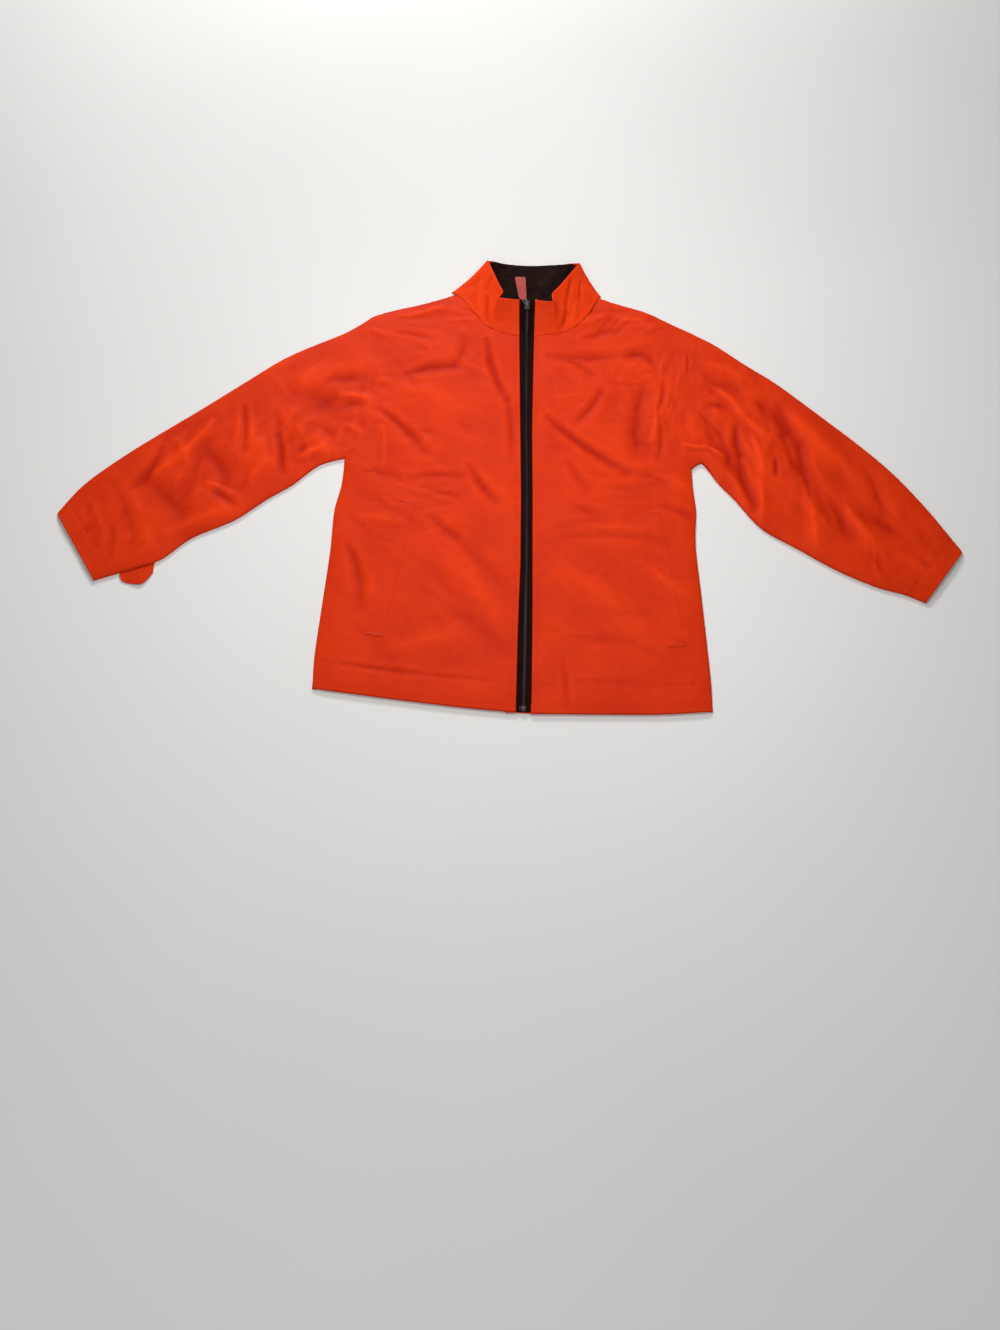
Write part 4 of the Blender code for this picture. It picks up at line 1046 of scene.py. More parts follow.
def band_relief(length):
    """Relief of the band: its folds, and fine puckers along its seam and its top."""
    shares = np.linspace(0, 1, COLLAR_ROWS + 1), np.linspace(0, 1, COLLAR_COLUMNS + 1)
    share_up, share_along = np.meshgrid(*shares, indexing="ij")
    size = np.array((length, COLLAR_HEIGHT))
    points = np.stack([share_along, share_up], axis=-1).reshape(-1, 2) * size
    total = np.zeros(len(points))
    for a0, u0, a1, u1, half_width, rise in COLLAR_CREASES:
        line = np.linspace((a0, u0), (a1, u1), 4) * size
        total += crease(points, line, half_width * MM, rise * MM, COLLAR_LIPS)
    along, up = points.T
    for away, (reach, rise, rate, stray, stray_rate) in zip((up, COLLAR_HEIGHT - up), BAND_PUCKERS):
        ripple = np.sin(along * rate + stray * np.sin(along * stray_rate))
        total += rise * ripple * np.exp(-((away / reach) ** 2))
    total += 0.00030 * np.sin(along * 95 + 1.2 * np.sin(up * 120)) * np.sin(up * 90 + 0.7)
    fade = ease(share_up / SEAM_FADE) * kept(TOP_KEPT, ease((1 - share_up) / TOP_FADE))
    ends = ease(np.minimum(share_along, 1 - share_along) / ENDS_FADE)
    return total.reshape(share_up.shape) * fade * kept(ENDS_KEPT, ends)


band, band_out, band_length = collar_band()
band_waves = band_relief(band_length)
lifted = np.clip(band[..., 2:] / LIES_FLAT, 0, 1)
outer_band = band + band_out * band_waves[..., None] * lifted
# 1 where the band lies on its back behind the two corners, 0 beside the zip
BACK_FROM, BACK_TO, BACK_BLEND = 0.285, 0.70, 0.03
share_along = np.linspace(0, 1, COLLAR_COLUMNS + 1)
at_back = ease((share_along - BACK_FROM) / BACK_BLEND) * ease((BACK_TO - share_along) / BACK_BLEND)


def make_collar_outer():
    up = unit(outer_band[-1] - outer_band[-2])
    inwards = band_out[-1] * (1 - COLLAR_THINNER * at_back)[:, None]
    top = [
        outer_band[-1] + (up * (out - 1) - inwards * deep) * COLLAR_TURN
        for out, deep in FOLD + [(-1.0, 2.0), (-2.6, 2.0)]
    ]
    base = [outer_band[0] - band_out[0] * deep for deep in COLLAR_SEAM_DEPTHS]
    for line in base:
        line[:, 2] = np.maximum(line[:, 2], OFF_FLOOR)
    body = outer_band.copy()
    body[-1] -= up * COLLAR_TURN
    grid = np.concatenate([np.array(base), body, np.array(top)])
    grid[..., 2] = np.maximum(grid[..., 2], OFF_FLOOR / 2)
    more = len(base), len(top)
    looks = carried_on(band_out, rows=more)
    ends = []
    for column, sign in ((0, 1), (-1, -1)):
        lines = [
            grid[:, column] + ((sign * (out - 1), 0, 0) - looks[:, column] * deep) * MM
            for out, deep in FOLD + [(-2.5, 2.0)]
        ]
        ends.append(np.array(lines).transpose(1, 0, 2))
    grid = np.concatenate([ends[0][:, ::-1], grid[:, 1:-1], ends[1]], axis=1)
    extra = (len(FOLD), len(FOLD))
    # painted shade in the band's creases, painted highlight on its ridges, and the whole band
    # painted paler as painted light
    tone = carried_on(painted_shading(band_waves) + COLLAR_PAINTED_LIGHT, more, extra)
    piece = cloth_piece("collar_shell", grid, carried_on(looks, columns=extra), tone=tone)
    return dressed(piece, SHELL, "collar_outer")


def lining_finish():
    """Dark brushed lining: matt, softly mottled, with a short nap."""
    finish = new_finish("dark_lining_finish", {
        "Roughness": 0.92, "Specular IOR Level": 0.05,
        "Sheen Weight": 0.04, "Sheen Roughness": 0.6, "Sheen Tint": (0.55, 0.50, 0.46, 1),
    })
    dark, light = (0.0060, 0.0020, 0.0014), (0.0190, 0.0072, 0.0052)
    coloured(finish, grain(finish, 60.0, 5.0), dark, light, (0.32, 0.72))
    bumped(finish, grain(finish, 900.0, 3.0), 0.6, 0.0006)
    return finish


LINING = lining_finish()


def make_collar_lining():
    inside = band + band_out * (band_waves[..., None] * lifted - LINING_DEPTH)
    up = unit(band[-1] - band[-2])
    below = (COLLAR_TURN + LINING_BELOW) * (1 - at_back) - LINING_OVER * at_back
    inside[-1] -= up * below[:, None]
    inside = inside[:, LINING_ENDS]
    inside[..., 2] = np.maximum(inside[..., 2], LINING_LEAST)
    looks = band_out[:, LINING_ENDS]
    piece = cloth_piece("collar_inner", inside, looks, thickness=LINING_THICKNESS)
    return dressed(piece, LINING, "collar_lining")


FACING_LOWER = [(-60, 384), (-30, 322), (46, 288), (122, 318), (157, 379)]
FACING_TUCK, FACING_TOP, FACING_ROWS, FACING_COLUMNS = 0.0022, 0.0028, 24, 60
FACING_ENDS = slice(3, -3)


def make_neck_lining():
    """The facing inside the back, seen through the neck: it dips softly towards the fronts."""
    upper = drawn(BACK_NECK, FACING_COLUMNS)
    upper = (upper - sideways(upper, plan((46, 0))) * FACING_TUCK)[FACING_ENDS]
    lower = drawn(FACING_LOWER, len(upper) - 1)
    v = np.linspace(0, 1, FACING_ROWS)[:, None, None]
    flat = lower[None] * (1 - v) + upper[None] * v
    x, y = flat[..., 0], flat[..., 1]
    waves = 0.0004 * np.sin(x * 90 + 2 * np.sin(y * 60)) + 0.0003 * np.sin(y * 140 + x * 30)
    grid = np.dstack([flat, FACING_TOP + waves])
    piece = cloth_piece("neck_facing", grid, UP, thickness=LINING_THICKNESS)
    return dressed(piece, LINING, "neck_lining")


collar_shell = make_collar_outer()
collar_inner = make_collar_lining()
neck_facing = make_neck_lining()

# ---------------------------------------------------------------- pocket welts
# A slanted strip of shell cloth beside each pocket opening, folded along its free edge, sewn
# down on the other and at both ends with a short bar of close stitches.
POCKETS = {"left": ((-145, -12), (-183, -239)), "right": ((234, -31), (254, -256))}
WELT_WIDTH, WELT_LIFT, WELT_MOUTH, WELT_THICKNESS = 0.026, 0.0001, 0.0004, 0.0004
WELT_ROWS, WELT_COLUMNS, WELT_CLUSTER = 90, 14, 0.5
# How much of the lift stays at its rims, and the share of its length over which it ends
WELT_RIM, WELT_END_SHARE = 0.5, 0.02
# Its long edges and its ends, as steps outwards and up in millimetres
WELT_EDGE = ((0.35, -0.06), (0.6, -0.20), (0.7, -0.40), (0.6, -0.60))
WELT_END = ((0.3, -0.16), (0.4, -0.48), (0.2, -0.8))


def welt_frame(which):
    start, end = plan(POCKETS[which])
    along = unit(end - start)
    across = np.array((-along[1], along[0]))
    if (across[0] > 0) != (which == "right"):
        across = -across
    return start, end, along, across


def make_welt(which):
    start, end, along, across = welt_frame(which)
    v = np.linspace(0, 1, WELT_ROWS + 1)[:, None]
    u = clustered(WELT_COLUMNS, WELT_CLUSTER)[None]
    flat = start + (end - start) * v[..., None] + across * ((u[..., None] - 0.5) * WELT_WIDTH)
    height, waves = lay(flat)
    crown = np.sqrt(np.clip(1 - (2 * u - 1) ** 2, 0, 1))
    ends = ease(np.minimum(v, 1 - v) / WELT_END_SHARE)
    mouth = WELT_MOUTH * u**3 * np.sin(math.pi * v) * (0.8 + 0.5 * np.sin(v * 9 + 1))
    lift = WELT_LIFT * (1 + kept(WELT_RIM, crown) * kept(WELT_RIM, ends))
    grid = np.dstack([flat, height + WELT_THICKNESS + lift + mouth])
    low = finished_edge(grid[:, 0], -across, WELT_EDGE).transpose(1, 0, 2)
    high = finished_edge(grid[:, -1], across, WELT_EDGE).transpose(1, 0, 2)
    grid = np.concatenate([low[:, ::-1], grid, high], axis=1)
    caps = [finished_edge(grid[row], way, WELT_END) for row, way in ((0, -along), (-1, along))]
    grid = np.concatenate([caps[0][::-1], grid, caps[1]])
    added, beside = len(WELT_END), len(WELT_EDGE)
    # painted shade in the strip's creases and painted highlight on its ridges
    tone = carried_on(painted_shading(waves), (added, added), (beside, beside))
    piece = cloth_piece("pocket_strip_" + which, grid, UP, tone=tone, thickness=WELT_THICKNESS)
    return dressed(piece, SHELL, "pocket_welt_" + which)


welts = {which: make_welt(which) for which in SIDES}

# ---------------------------------------------------------------- strap end under the left cuff
# The end of a short cuff strap shows below the left sleeve's lower edge, lying on the floor
# with its free edge turned and slightly raised.
STRAP = [(-571, -140), (-564, -149), (-549, -153), (-534, -152), (-522, -135)]
STRAP_TOP, STRAP_RISE, STRAP_CLEAR, STRAP_THICKNESS = 0.0016, 0.0022, 0.0004, 0.0007
# The strap's last value darkens all of it a little: painted shade where it lies under the sleeve's
# edge
STRAP_ROWS, STRAP_COLUMNS, STRAP_PAINTED_SHADE = 12, 36, -0.1
STRAP_TURN = TURNED_UNDER[:8] * (0.7, 0.55)


def make_strap():
    free = drawn(STRAP, STRAP_COLUMNS)
    edge = drawn(SLEEVE_LOWER["left"], 300)
    beside = edge[(edge[:, 0] > free[0, 0]) & (edge[:, 0] < free[-1, 0])][::-1]
    beside = even(beside + sideways(beside, plan((-500, -400))) * STRAP_CLEAR, STRAP_COLUMNS)
    v = np.linspace(0, 1, STRAP_ROWS)[:, None]
    flat = beside[None] * (1 - v[..., None]) + free[None] * v[..., None]
    raised = STRAP_RISE * ease(v) * (0.5 + 0.5 * np.sin(flat[..., 0] * 160 + 1.0))
    grid = np.dstack([flat, STRAP_TOP + raised])
    grid = np.concatenate([grid, finished_edge(grid[-1], (0.0, -1.0), STRAP_TURN)])
    # the whole strap gets a little painted shade, as under the sleeve's edge
    tone = np.full(grid.shape[:2], STRAP_PAINTED_SHADE)
    piece = cloth_piece("cuff_strap_end", grid, UP, thickness=STRAP_THICKNESS, tone=tone)
    return dressed(piece, SHELL, "cuff_tab_left")


strap = make_strap()

# ---------------------------------------------------------------- zip tapes and teeth
# Two dark woven tapes are sewn behind the fronts' edges; moulded teeth grip their inner
# edges and mesh along the middle, from the hem to the top of the collar.
TAPE_DEPTH, TAPE_THICKNESS, TAPE_HIDDEN, TAPE_INNER = 0.0022, 0.0007, 0.005, 0.0003
TAPE_ROWS, TAPE_COLUMNS, TAPE_BEAD, TAPE_BEAD_SHARE, TAPE_WAVE = 260, 8, 0.00025, 0.2, 0.0001
# The zip bends evenly from the fronts into the collar: how often its tilt is evened out
ZIP_STEPS, ZIP_EVENINGS = 240, 6


def zip_path(count):
    """Middle line of the zip on the fronts' outer face, with half widths, evenly spaced."""
    y = np.linspace(HEM_LINES["left"][0, 1], NECK_START_Y, ZIP_STEPS)
    left, right = (zip_edge(y, which) for which in SIDES)
    low = np.column_stack([(left + right) / 2, y, zip_top(y), (right - left) / 2])
    a, b = band[1:, 0], band[1:, -1]
    high = np.column_stack([(a + b) / 2, (b - a)[:, 0] / 2])
    line = even(np.concatenate([low, high]), count)
    along = np.gradient(line[:, :3], axis=0)
    out = unit(np.column_stack([np.zeros(count + 1), -along[:, 2], along[:, 1]]))
    for _ in range(ZIP_EVENINGS):
        out[1:-1] = (out[:-2] + 2 * out[1:-1] + out[2:]) / 4
    return line[:, :3], line[:, 3], out, unit(along)


def tape_finish():
    """Nearly black woven tape with a red-brown cast and a fine twill."""
    finish = new_finish("zip_tape_finish", {"Roughness": 0.8, "Specular IOR Level": 0.05})
    dark, light = (0.0080, 0.0012, 0.0010), (0.0180, 0.0026, 0.0020)
    coloured(finish, grain(finish, 70.0, 3.0), dark, light)
    cut = new_node(finish, "UVMap", {}, uv_map="cut").outputs["UV"]
    threads = {"Vector": cut, "Scale": 420.0, "Distortion": 0.8}
    twill = new_node(finish, "TexWave", threads, bands_direction="DIAGONAL")
    bumped(finish, twill.outputs["Fac"], 0.5, 0.0002)
    return finish


TAPE = tape_finish()


def make_tape(which):
    middle, half, out, _ = zip_path(TAPE_ROWS)
    lines = []
    for share in np.linspace(0, 1, TAPE_COLUMNS + 1):
        swell = TAPE_BEAD * (share < TAPE_BEAD_SHARE) + TAPE_WAVE * math.sin(share * 25)
        line = middle - out * (TAPE_DEPTH - swell)
        line[:, 0] += OUTWARD[which] * (TAPE_INNER + (half + TAPE_HIDDEN - TAPE_INNER) * share)
        lines.append(line)
    grid = np.array(lines).transpose(1, 0, 2)
    piece = cloth_piece("tape_" + which, grid, out[:, None], thickness=TAPE_THICKNESS)
    return dressed(piece, TAPE, "zip_tape_" + which)


tapes = {which: make_tape(which) for which in SIDES}


def roughened(finish, source, low, high):
    inputs = {"Value": source, "To Min": low, "To Max": high}
    feed(finish, "Roughness", new_node(finish, "MapRange", inputs).outputs["Result"])


def plastic_finish():
    """Black moulded plastic with slight wear, in paler and darker patches at random."""
    finish = new_finish("zip_plastic_finish", {"Specular IOR Level": 0.3})
    wear = grain(finish, 240.0, 4.0)
    coloured(finish, wear, (0.006, 0.006, 0.007), (0.016, 0.009, 0.009), (0.4, 0.8))
    roughened(finish, wear, 0.30, 0.50)
    return finish


PLASTIC = plastic_finish()


def many_pieces(name, blocks):
    """One mesh of many small solids, each made of rings of four points and closed at its ends."""
    blocks = np.asarray(blocks)
    count, size = blocks.shape[:2]
    faces = [(3, 2, 1, 0), tuple(range(size - 4, size))]
    for a in range(0, size - 4, 4):
        faces += [(a + k, a + (k + 1) % 4, a + 4 + (k + 1) % 4, a + 4 + k) for k in range(4)]
    all_faces = [tuple(k + i * size for k in face) for i in range(count) for face in faces]
    mesh = bpy.data.meshes.new(name)
    mesh.from_pydata(blocks.reshape(-1, 3).tolist(), [], all_faces)
    piece = bpy.data.objects.new(name, mesh)
    bpy.context.scene.collection.objects.link(piece)
    bpy.ops.object.select_all(action="DESELECT")
    bpy.context.view_layer.objects.active = piece
    piece.select_set(True)
    bpy.ops.object.mode_set(mode="EDIT")
    bpy.ops.mesh.select_all(action="SELECT")
    bpy.ops.mesh.normals_make_consistent(inside=False)
    bpy.ops.object.mode_set(mode="OBJECT")
    piece.select_set(False)
    return piece


TEETH_LENGTH, TEETH_TOP, TOOTH_PITCH, TOOTH_OVERLAP = 0.68, 0.0006, 0.0030, 0.0008
TOOTH_LENGTH, TOOTH_WIDTH, TOOTH_HEIGHT = 0.0032, 0.00125, 0.0023
# Teeth left out at the hem, where the box is, and at the top
BARE_HEM, BARE_TOP = 6, 4
# A tooth is a base with a narrower rounded top: shares of its height, its width and its length
TOOTH_LEVELS = [(0.0, 1.0, 1.0), (0.65, 1.0, 1.0), (1.0, 0.62, 0.80)]


def make_teeth():
    count = int(TEETH_LENGTH / (TOOTH_PITCH / 2))
    middle, _, out, along = zip_path(count)
    blocks = []
    for i in range(BARE_HEM, count - BARE_TOP):
        sign = -1 if i % 2 else 1
        points = []
        for level, wide, long in TOOTH_LEVELS:
            centre = middle[i] - out[i] * (TEETH_TOP + TOOTH_HEIGHT * (1 - level))
            for dx, dy in ((-0.5, -0.5), (0.5, -0.5), (0.5, 0.5), (-0.5, 0.5)):
                x = sign * (TOOTH_LENGTH / 2 - TOOTH_OVERLAP) + dx * TOOTH_LENGTH * long
                points.append(centre + along[i] * (dy * TOOTH_WIDTH * wide) + (x, 0, 0))
        blocks.append(points)
    return dressed(many_pieces("teeth_row", blocks), PLASTIC, "zip_teeth")


make_teeth()


def settle(piece, matrix):
    """Puts the piece's place into its mesh, so that its object sits at the origin."""
    piece.data.transform(matrix @ piece.matrix_basis)
    piece.matrix_basis.identity()
    return piece


def block(name, place, sides, rounding, segments=3):
    """A rounded block, its edges bevelled in edit mode."""
    bpy.ops.object.select_all(action="DESELECT")
    bpy.ops.mesh.primitive_cube_add(size=1, location=place, scale=sides)
    piece = bpy.context.active_object
    piece.name = piece.data.name = name
    bpy.ops.object.transform_apply(location=True, rotation=True, scale=True)
    bpy.ops.object.mode_set(mode="EDIT")
    bpy.ops.mesh.select_all(action="SELECT")
    bpy.ops.mesh.bevel(offset=rounding, segments=segments, affect="EDGES")
    bpy.ops.object.mode_set(mode="OBJECT")
    return piece


SHARP_ANGLE = 40


def joined(name, pieces):
    bpy.ops.object.select_all(action="DESELECT")
    for piece in pieces:
        piece.select_set(True)
    bpy.context.view_layer.objects.active = pieces[0]
    bpy.ops.object.join()
    whole = bpy.context.active_object
    whole.name = whole.data.name = name
    whole.select_set(False)
    whole.data.shade_smooth()
    whole.data.set_sharp_from_angle(angle=math.radians(SHARP_ANGLE))
    return whole


# The zip's two halves meet in a small plastic box at the hem, beside the other half's pin.
BOX_PLACE, BOX_SIDES = Vector((0, 0.0045, -0.0016)), (0.0078, 0.0080, 0.0030)
PIN_PLACE, PIN_SIDES = Vector((-0.0052, 0.0006, -0.0002)), (0.0016, 0.0070, 0.0022)
BOX_ROUNDING, PIN_ROUNDING = 0.0006, 0.0005


def make_zip_box():
    place = Vector(zip_path(200)[0][0]) + BOX_PLACE
    body = block("zip_end_box", place, BOX_SIDES, BOX_ROUNDING)
    pin = block("zip_end_pin", place + PIN_PLACE, PIN_SIDES, PIN_ROUNDING)
    return dressed(joined("zip_end_box", [body, pin]), PLASTIC, "zip_box")


make_zip_box()

# ---------------------------------------------------------------- slider and pull tab
# The slider is cast metal: a waisted body over the teeth and a bridge on top. The pull is a
# soft salmon-red tab moulded on a metal loop, whose thin axle turns in the bridge.
SLIDER_WIDTH, SLIDER_LENGTH, SLIDER_HEIGHT = 0.0105, 0.0150, 0.0042
SLIDER_FROM_TOP, SLIDER_WAIST, SLIDER_ROUNDING = 0.0095, 0.70, 0.0011
# The part of the collar's height whose slope it takes
SLIDER_SPAN = (5 / 6, 1.0)
CREST_SIDES, CREST_SINK, CREST_ROUNDING = (0.0052, 0.0118, 0.0008), 0.0001, 0.0003
BRIDGE_WIDTH, BRIDGE_LENGTH, BRIDGE_BAR, BRIDGE_INSIDE = 0.0026, 0.0090, 0.0014, 0.0030
BRIDGE_SINK, BRIDGE_ROUNDING = 0.0003, 0.0005
PULL_LENGTH, PULL_WIDTH, PULL_THICKNESS = 0.047, 0.0145, 0.0016
PULL_ARM, PULL_AXLE, PULL_CLEAR, PULL_NECK, PULL_LOOP_END = 0.0022, 0.0007, 0.0005, 0.0085, 0.0095
PULL_OVERLAP, PULL_ARM_OVERLAP = 0.001, 0.0026
PULL_ROUNDING, PULL_ARM_ROUNDING, AXLE_SIDES = 0.0006, 0.0005, 16
# The tab's outline: its width at the loop and what it gains to its end; how much it loses at
# its end's corners and over the loop, and over what length
PULL_NARROW, PULL_WIDENING = 0.86, 0.42
CORNER_LOSS, CORNER_LENGTH, NECK_LOSS, NECK_LENGTH = 0.16, 0.004, 0.30, 0.005
# The tab hangs a little aside: its shift between the loop's arms and its start, and its lean
PULL_SHIFT, PULL_LEAN, PULL_ARM_END, PULL_TAB_START = 0.0072, 0.13, 0.0058, 0.0112
# Where the tab's outline bends: over the loop, and at its wider end
PULL_BENDS = (
    0.0080, 0.0090, 0.0100, 0.0110, 0.0120, 0.0135, 0.0200, 0.0300, 0.0400, 0.0440,
)
RIB_COUNT, RIB_PITCH, RIB_FROM_END, RIB_ROUNDING = 7, 0.0036, 0.006, 0.0003
RIB_SIDES = (PULL_WIDTH * 0.62, 0.0014, PULL_THICKNESS + 0.0007)


def slider_place():
    """Middle of the slider's underside, its direction up the zip and its direction out."""
    base, top = collar_ends()
    ends = []
    for share in SLIDER_SPAN:
        points = base[[0, -1]] + (top - base)[[0, -1]] * share
        sag = np.maximum(0.0, (top - base)[[0, -1], 2]) * (share - share**COLLAR_BOW)
        points[:, 2] -= sag
        ends.append(points.mean(axis=0))
    up = unit(ends[1] - ends[0])
    out = unit(np.array((0.0, -up[2], up[1])))
    return Vector(ends[1] - up * SLIDER_FROM_TOP), Vector(up), Vector(out)


slider_middle, slider_up, slider_out = slider_place()
tilt = math.atan2(slider_up.z, slider_up.y)


def tilted_at(point):
    return Matrix.Translation(point) @ Matrix.Rotation(tilt, 4, "X")


def metal_finish():
    """Grey cast metal, satin, in darker and paler patches at random."""
    finish = new_finish("slider_metal_finish", {"Metallic": 0.85})
    cast = grain(finish, 500.0, 4.0)
    coloured(finish, cast, (0.030, 0.028, 0.028), (0.092, 0.088, 0.088))
    roughened(finish, cast, 0.30, 0.52)
    bumped(finish, cast, 0.25, 0.0002)
    return finish


METAL = metal_finish()


def make_slider():
    height = BRIDGE_INSIDE + BRIDGE_BAR
    sides = (SLIDER_WIDTH, SLIDER_LENGTH, SLIDER_HEIGHT)
    body = block("slider_body", (0, 0, SLIDER_HEIGHT / 2), sides, SLIDER_ROUNDING)
    for vertex in body.data.vertices:
        share = vertex.co.y / SLIDER_LENGTH + 0.5
        full = math.sin(math.pi * min(1.0, 0.18 + 0.75 * share)) ** 0.8
        vertex.co.x *= kept(SLIDER_WAIST, full)
    place = (0, 0, SLIDER_HEIGHT - CREST_SINK)
    crest = block("slider_crest", place, CREST_SIDES, CREST_ROUNDING, 2)
    place = (0, 0, SLIDER_HEIGHT + BRIDGE_INSIDE + BRIDGE_BAR / 2)
    bar = block("bridge_bar", place, (BRIDGE_WIDTH, BRIDGE_LENGTH, BRIDGE_BAR), BRIDGE_ROUNDING)
    pieces = [body, crest, bar]
    post = (BRIDGE_WIDTH, BRIDGE_BAR, height)
    for y in (-(BRIDGE_LENGTH - BRIDGE_BAR) / 2, (BRIDGE_LENGTH - BRIDGE_BAR) / 2):
        place = (0, y, SLIDER_HEIGHT + height / 2 - BRIDGE_SINK)
        pieces.append(block("bridge_post", place, post, BRIDGE_ROUNDING))
    piece = settle(joined("cast_slider", pieces), tilted_at(slider_middle))
    return dressed(piece, METAL, "zip_slider")


def rubber_finish():
    """Soft moulded tab, salmon red, matt with a fine grain and a few scuffs."""
    finish = new_finish("pull_rubber_finish", {"Roughness": 0.62, "Specular IOR Level": 0.3})
    scuff = grain(finish, 180.0, 5.0)
    coloured(finish, scuff, (0.44, 0.066, 0.052), (0.62, 0.115, 0.095), (0.3, 0.75))
    bumped(finish, scuff, 0.3, 0.0003)
    return finish


def make_tab():
    """The tab: widest near its end, rounded there, and narrowed over the loop."""
    long = PULL_LENGTH - PULL_NECK + PULL_OVERLAP
    sides = (PULL_WIDTH, long, PULL_THICKNESS)
    tab = block("pull_body", (0, PULL_LENGTH - long / 2, 0), sides, PULL_ROUNDING, 2)
    bpy.ops.object.mode_set(mode="EDIT")
    for y in PULL_BENDS:
        bpy.ops.mesh.select_all(action="SELECT")
        bpy.ops.mesh.bisect(plane_co=(0, y, 0), plane_no=(0, 1, 0))
    bpy.ops.object.mode_set(mode="OBJECT")
    for vertex in tab.data.vertices:
        from_end = PULL_LENGTH - vertex.co.y
        corner = max(0.0, 1 - from_end / CORNER_LENGTH)
        neck = max(0.0, 1 - (long - from_end) / NECK_LENGTH)
        along = max(0.0, (vertex.co.y - PULL_NECK) / (PULL_LENGTH - PULL_NECK))
        vertex.co.x *= PULL_NARROW + PULL_WIDENING * along
        vertex.co.x *= 1 - CORNER_LOSS * corner**2 - NECK_LOSS * neck
    return tab


def make_pull():
    arm_x = BRIDGE_WIDTH / 2 + PULL_CLEAR
    pieces = [make_tab()]
    for k in range(RIB_COUNT):
        place = (0, PULL_LENGTH - RIB_FROM_END - k * RIB_PITCH, 0)
        pieces.append(block("pull_rib", place, RIB_SIDES, RIB_ROUNDING, 2))
    arm = (PULL_ARM, PULL_NECK + PULL_ARM_OVERLAP, PULL_THICKNESS)
    for sign in (-1, 1):
        place = (sign * (arm_x + PULL_ARM / 2), (PULL_NECK + PULL_OVERLAP) / 2, 0)
        pieces.append(block("pull_arm", place, arm, PULL_ARM_ROUNDING, 2))
    bpy.ops.object.select_all(action="DESELECT")
    axle_length, across = 2 * arm_x + PULL_OVERLAP, (0, math.pi / 2, 0)
    bpy.ops.mesh.primitive_cylinder_add(
        vertices=AXLE_SIDES, radius=PULL_AXLE, depth=axle_length, rotation=across
    )
    pieces.append(bpy.context.active_object)
    bpy.ops.object.transform_apply(location=True, rotation=True, scale=True)
    piece = joined("pull_tab", pieces)
    for vertex in piece.data.vertices:
        y = vertex.co.y
        aside = float(ease((y - PULL_ARM_END) / (PULL_TAB_START - PULL_ARM_END)))
        vertex.co.x -= PULL_SHIFT * aside + PULL_LEAN * max(0.0, y - PULL_NECK)
    piece.data.materials.append(rubber_finish())
    piece.data.materials.append(METAL)
    for face in piece.data.polygons:
        face.material_index = int(face.center.y < PULL_LOOP_END)
    settle(piece, tilted_at(slider_middle + slider_out * (SLIDER_HEIGHT + BRIDGE_INSIDE / 2)))
    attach(piece, "zip_pull")
    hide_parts("zip_pull")
    return piece


make_slider()
make_pull()

# ---------------------------------------------------------------- sewing
# Rows of orange thread hold the turned edges: along the hem, the zip, the armholes, the
# cuffs, the collar and the welts, with close bars of stitches at the pocket ends.
STITCH_LENGTH, STITCH_PITCH, STITCH_WIDTH = 0.0024, 0.0033, 0.00055
BAR_LENGTH, BAR_PITCH, BAR_WIDTH, BAR_INSET = 0.0009, 0.0010, 0.0024, 0.003
# Rings of a stitch: share of its length, height, share of its width; its thickness
STITCH_RINGS = (
    (0.0, -0.00018, 0.6), (0.22, 0.000272, 1.0), (0.78, 0.000272, 1.0), (1.0, -0.00018, 0.6),
)
STITCH_THICKNESS, STITCH_CROWN, FIRST_STITCH = 0.00025, 0.5, 0.15
# Each row's steps; a hem's and a cuff's row stop short of the corners
ROW_STEPS = (("hem", 120), ("zip", 240), ("arm", 130), ("cuff", 60))
WELT_ROW_STEPS, BAR_STEPS, SHORT = 90, 30, slice(2, -2)
# Where a row lies on a welt, over the front's outer face and as a share of the welt's width
WELT_SEWING, BAR_SEWING = WELT_THICKNESS + 0.0003, WELT_THICKNESS + 0.0004
WELT_ROW_SHARES = (("seam", -0.41), ("fold", 0.41))
COLLAR_ROW_SHARE = 0.62


def thread_finish():
    """Twisted orange thread, a little shiny."""
    finish = new_finish("thread_finish", {"Roughness": 0.5, "Specular IOR Level": 0.3})
    coloured(finish, grain(finish, 1500.0), (0.50, 0.0150, 0.0025), (0.82, 0.0450, 0.0080))
    return finish


THREAD = thread_finish()


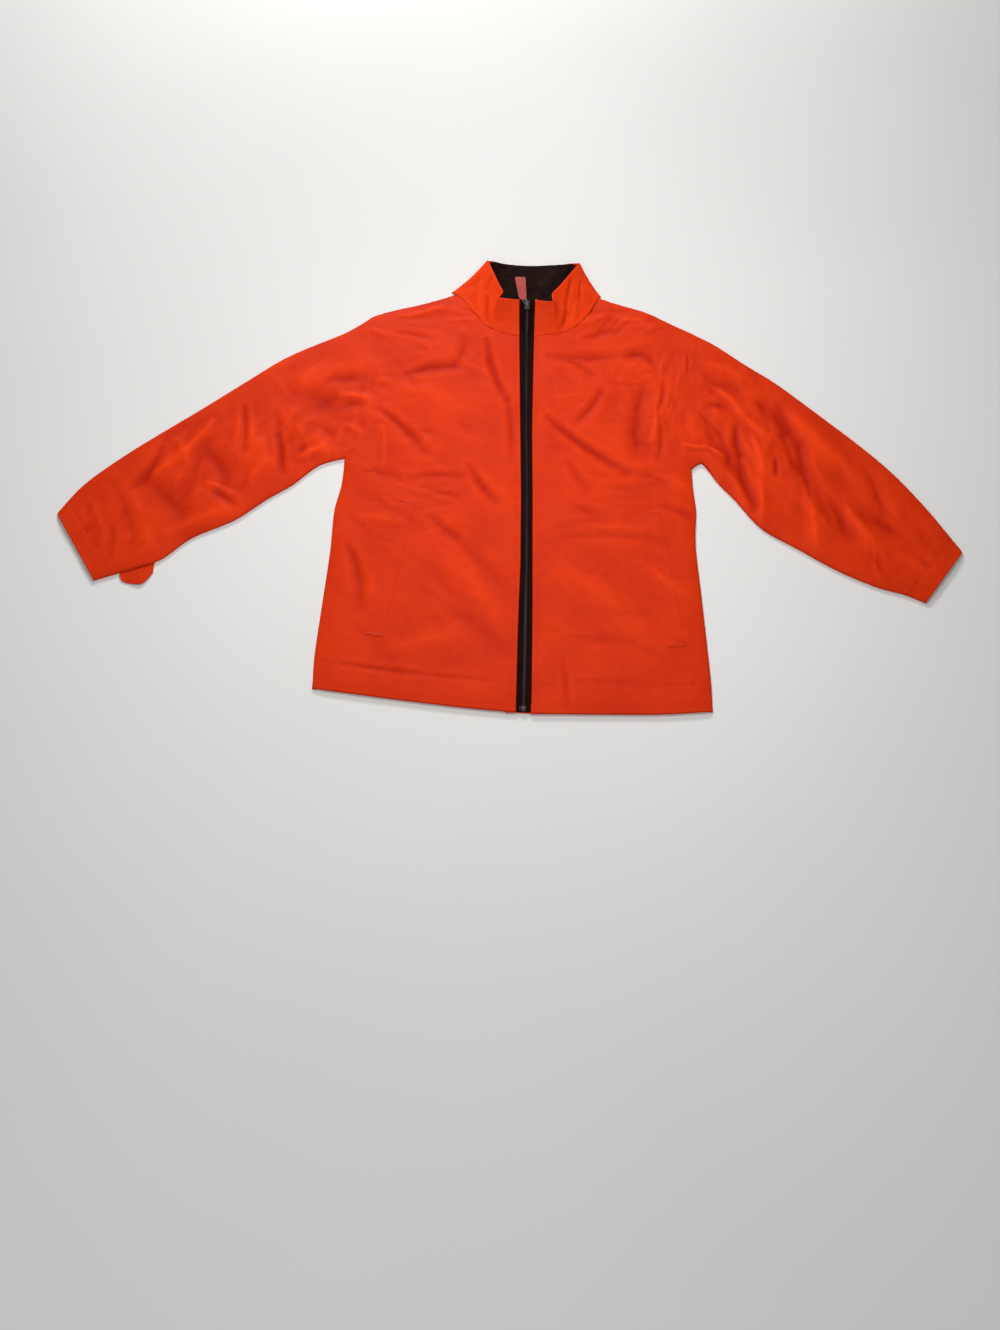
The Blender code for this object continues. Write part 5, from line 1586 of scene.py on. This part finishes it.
def sew(name, line, normals, pitch=STITCH_PITCH, length=STITCH_LENGTH, width=STITCH_WIDTH):
    """Stitches along a line in space: each dips into the cloth at both ends."""
    reach = reach_of(line)
    both = np.column_stack([line, normals])
    starts = (np.arange(int(reach[-1] / pitch)) + FIRST_STITCH) * pitch
    rings = [at_reach(both, starts + share * length, reach) for share, _, _ in STITCH_RINGS]
    along = unit(rings[-1][:, :3] - rings[0][:, :3])
    points = []
    for ring, (_, lift, wide) in zip(rings, STITCH_RINGS):
        normal = unit(ring[:, 3:])
        side = np.cross(along, normal) * (width * wide / 2)
        high = ring[:, :3] + normal * lift
        low = high - normal * STITCH_THICKNESS
        crown = side * STITCH_CROWN
        points += [low - side, low + side, high + crown, high - crown]
    piece = many_pieces(name, np.array(points).transpose(1, 0, 2))
    piece.data.materials.append(THREAD)
    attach(piece, "jacket")
    return piece


def on_cloth(line, lift=0.0):
    height, _ = lay(line)
    return np.column_stack([line, height + lift]), np.tile((0.0, 0.0, 1.0), (len(line), 1))


def sew_side(which):
    rows = {}
    for kind, count in ROW_STEPS:
        row = even(SEWN[kind + "_" + which], count)
        if kind in ("hem", "cuff"):
            row = row[SHORT]
        rows[kind] = sew("stitches_%s_%s" % (kind, which), *on_cloth(row))
    start, end, along, across = welt_frame(which)
    for edge, share in WELT_ROW_SHARES:
        row = np.linspace(start, end, WELT_ROW_STEPS)[SHORT] + across * (share * WELT_WIDTH)
        on_welt = on_cloth(row, WELT_SEWING)
        rows[edge] = sew("stitches_pocket_%s_%s" % (edge, which), *on_welt)
    half = across * WELT_WIDTH / 2
    for name, place in (("upper", start + along * BAR_INSET), ("lower", end - along * BAR_INSET)):
        on_welt = on_cloth(np.linspace(place - half, place + half, BAR_STEPS), BAR_SEWING)
        title = "stitches_bar_%s_%s" % (name, which)
        rows["bar_" + name] = sew(title, *on_welt, BAR_PITCH, BAR_LENGTH, BAR_WIDTH)
    return rows


sewing = {which: sew_side(which) for which in SIDES}
collar_line = outer_band[-1] + (outer_band[-5] - outer_band[-1]) * COLLAR_ROW_SHARE
collar_stitches = sew("stitches_collar_top", collar_line[4:-4], band_out[-3][4:-4])


bpy.context.view_layer.update()
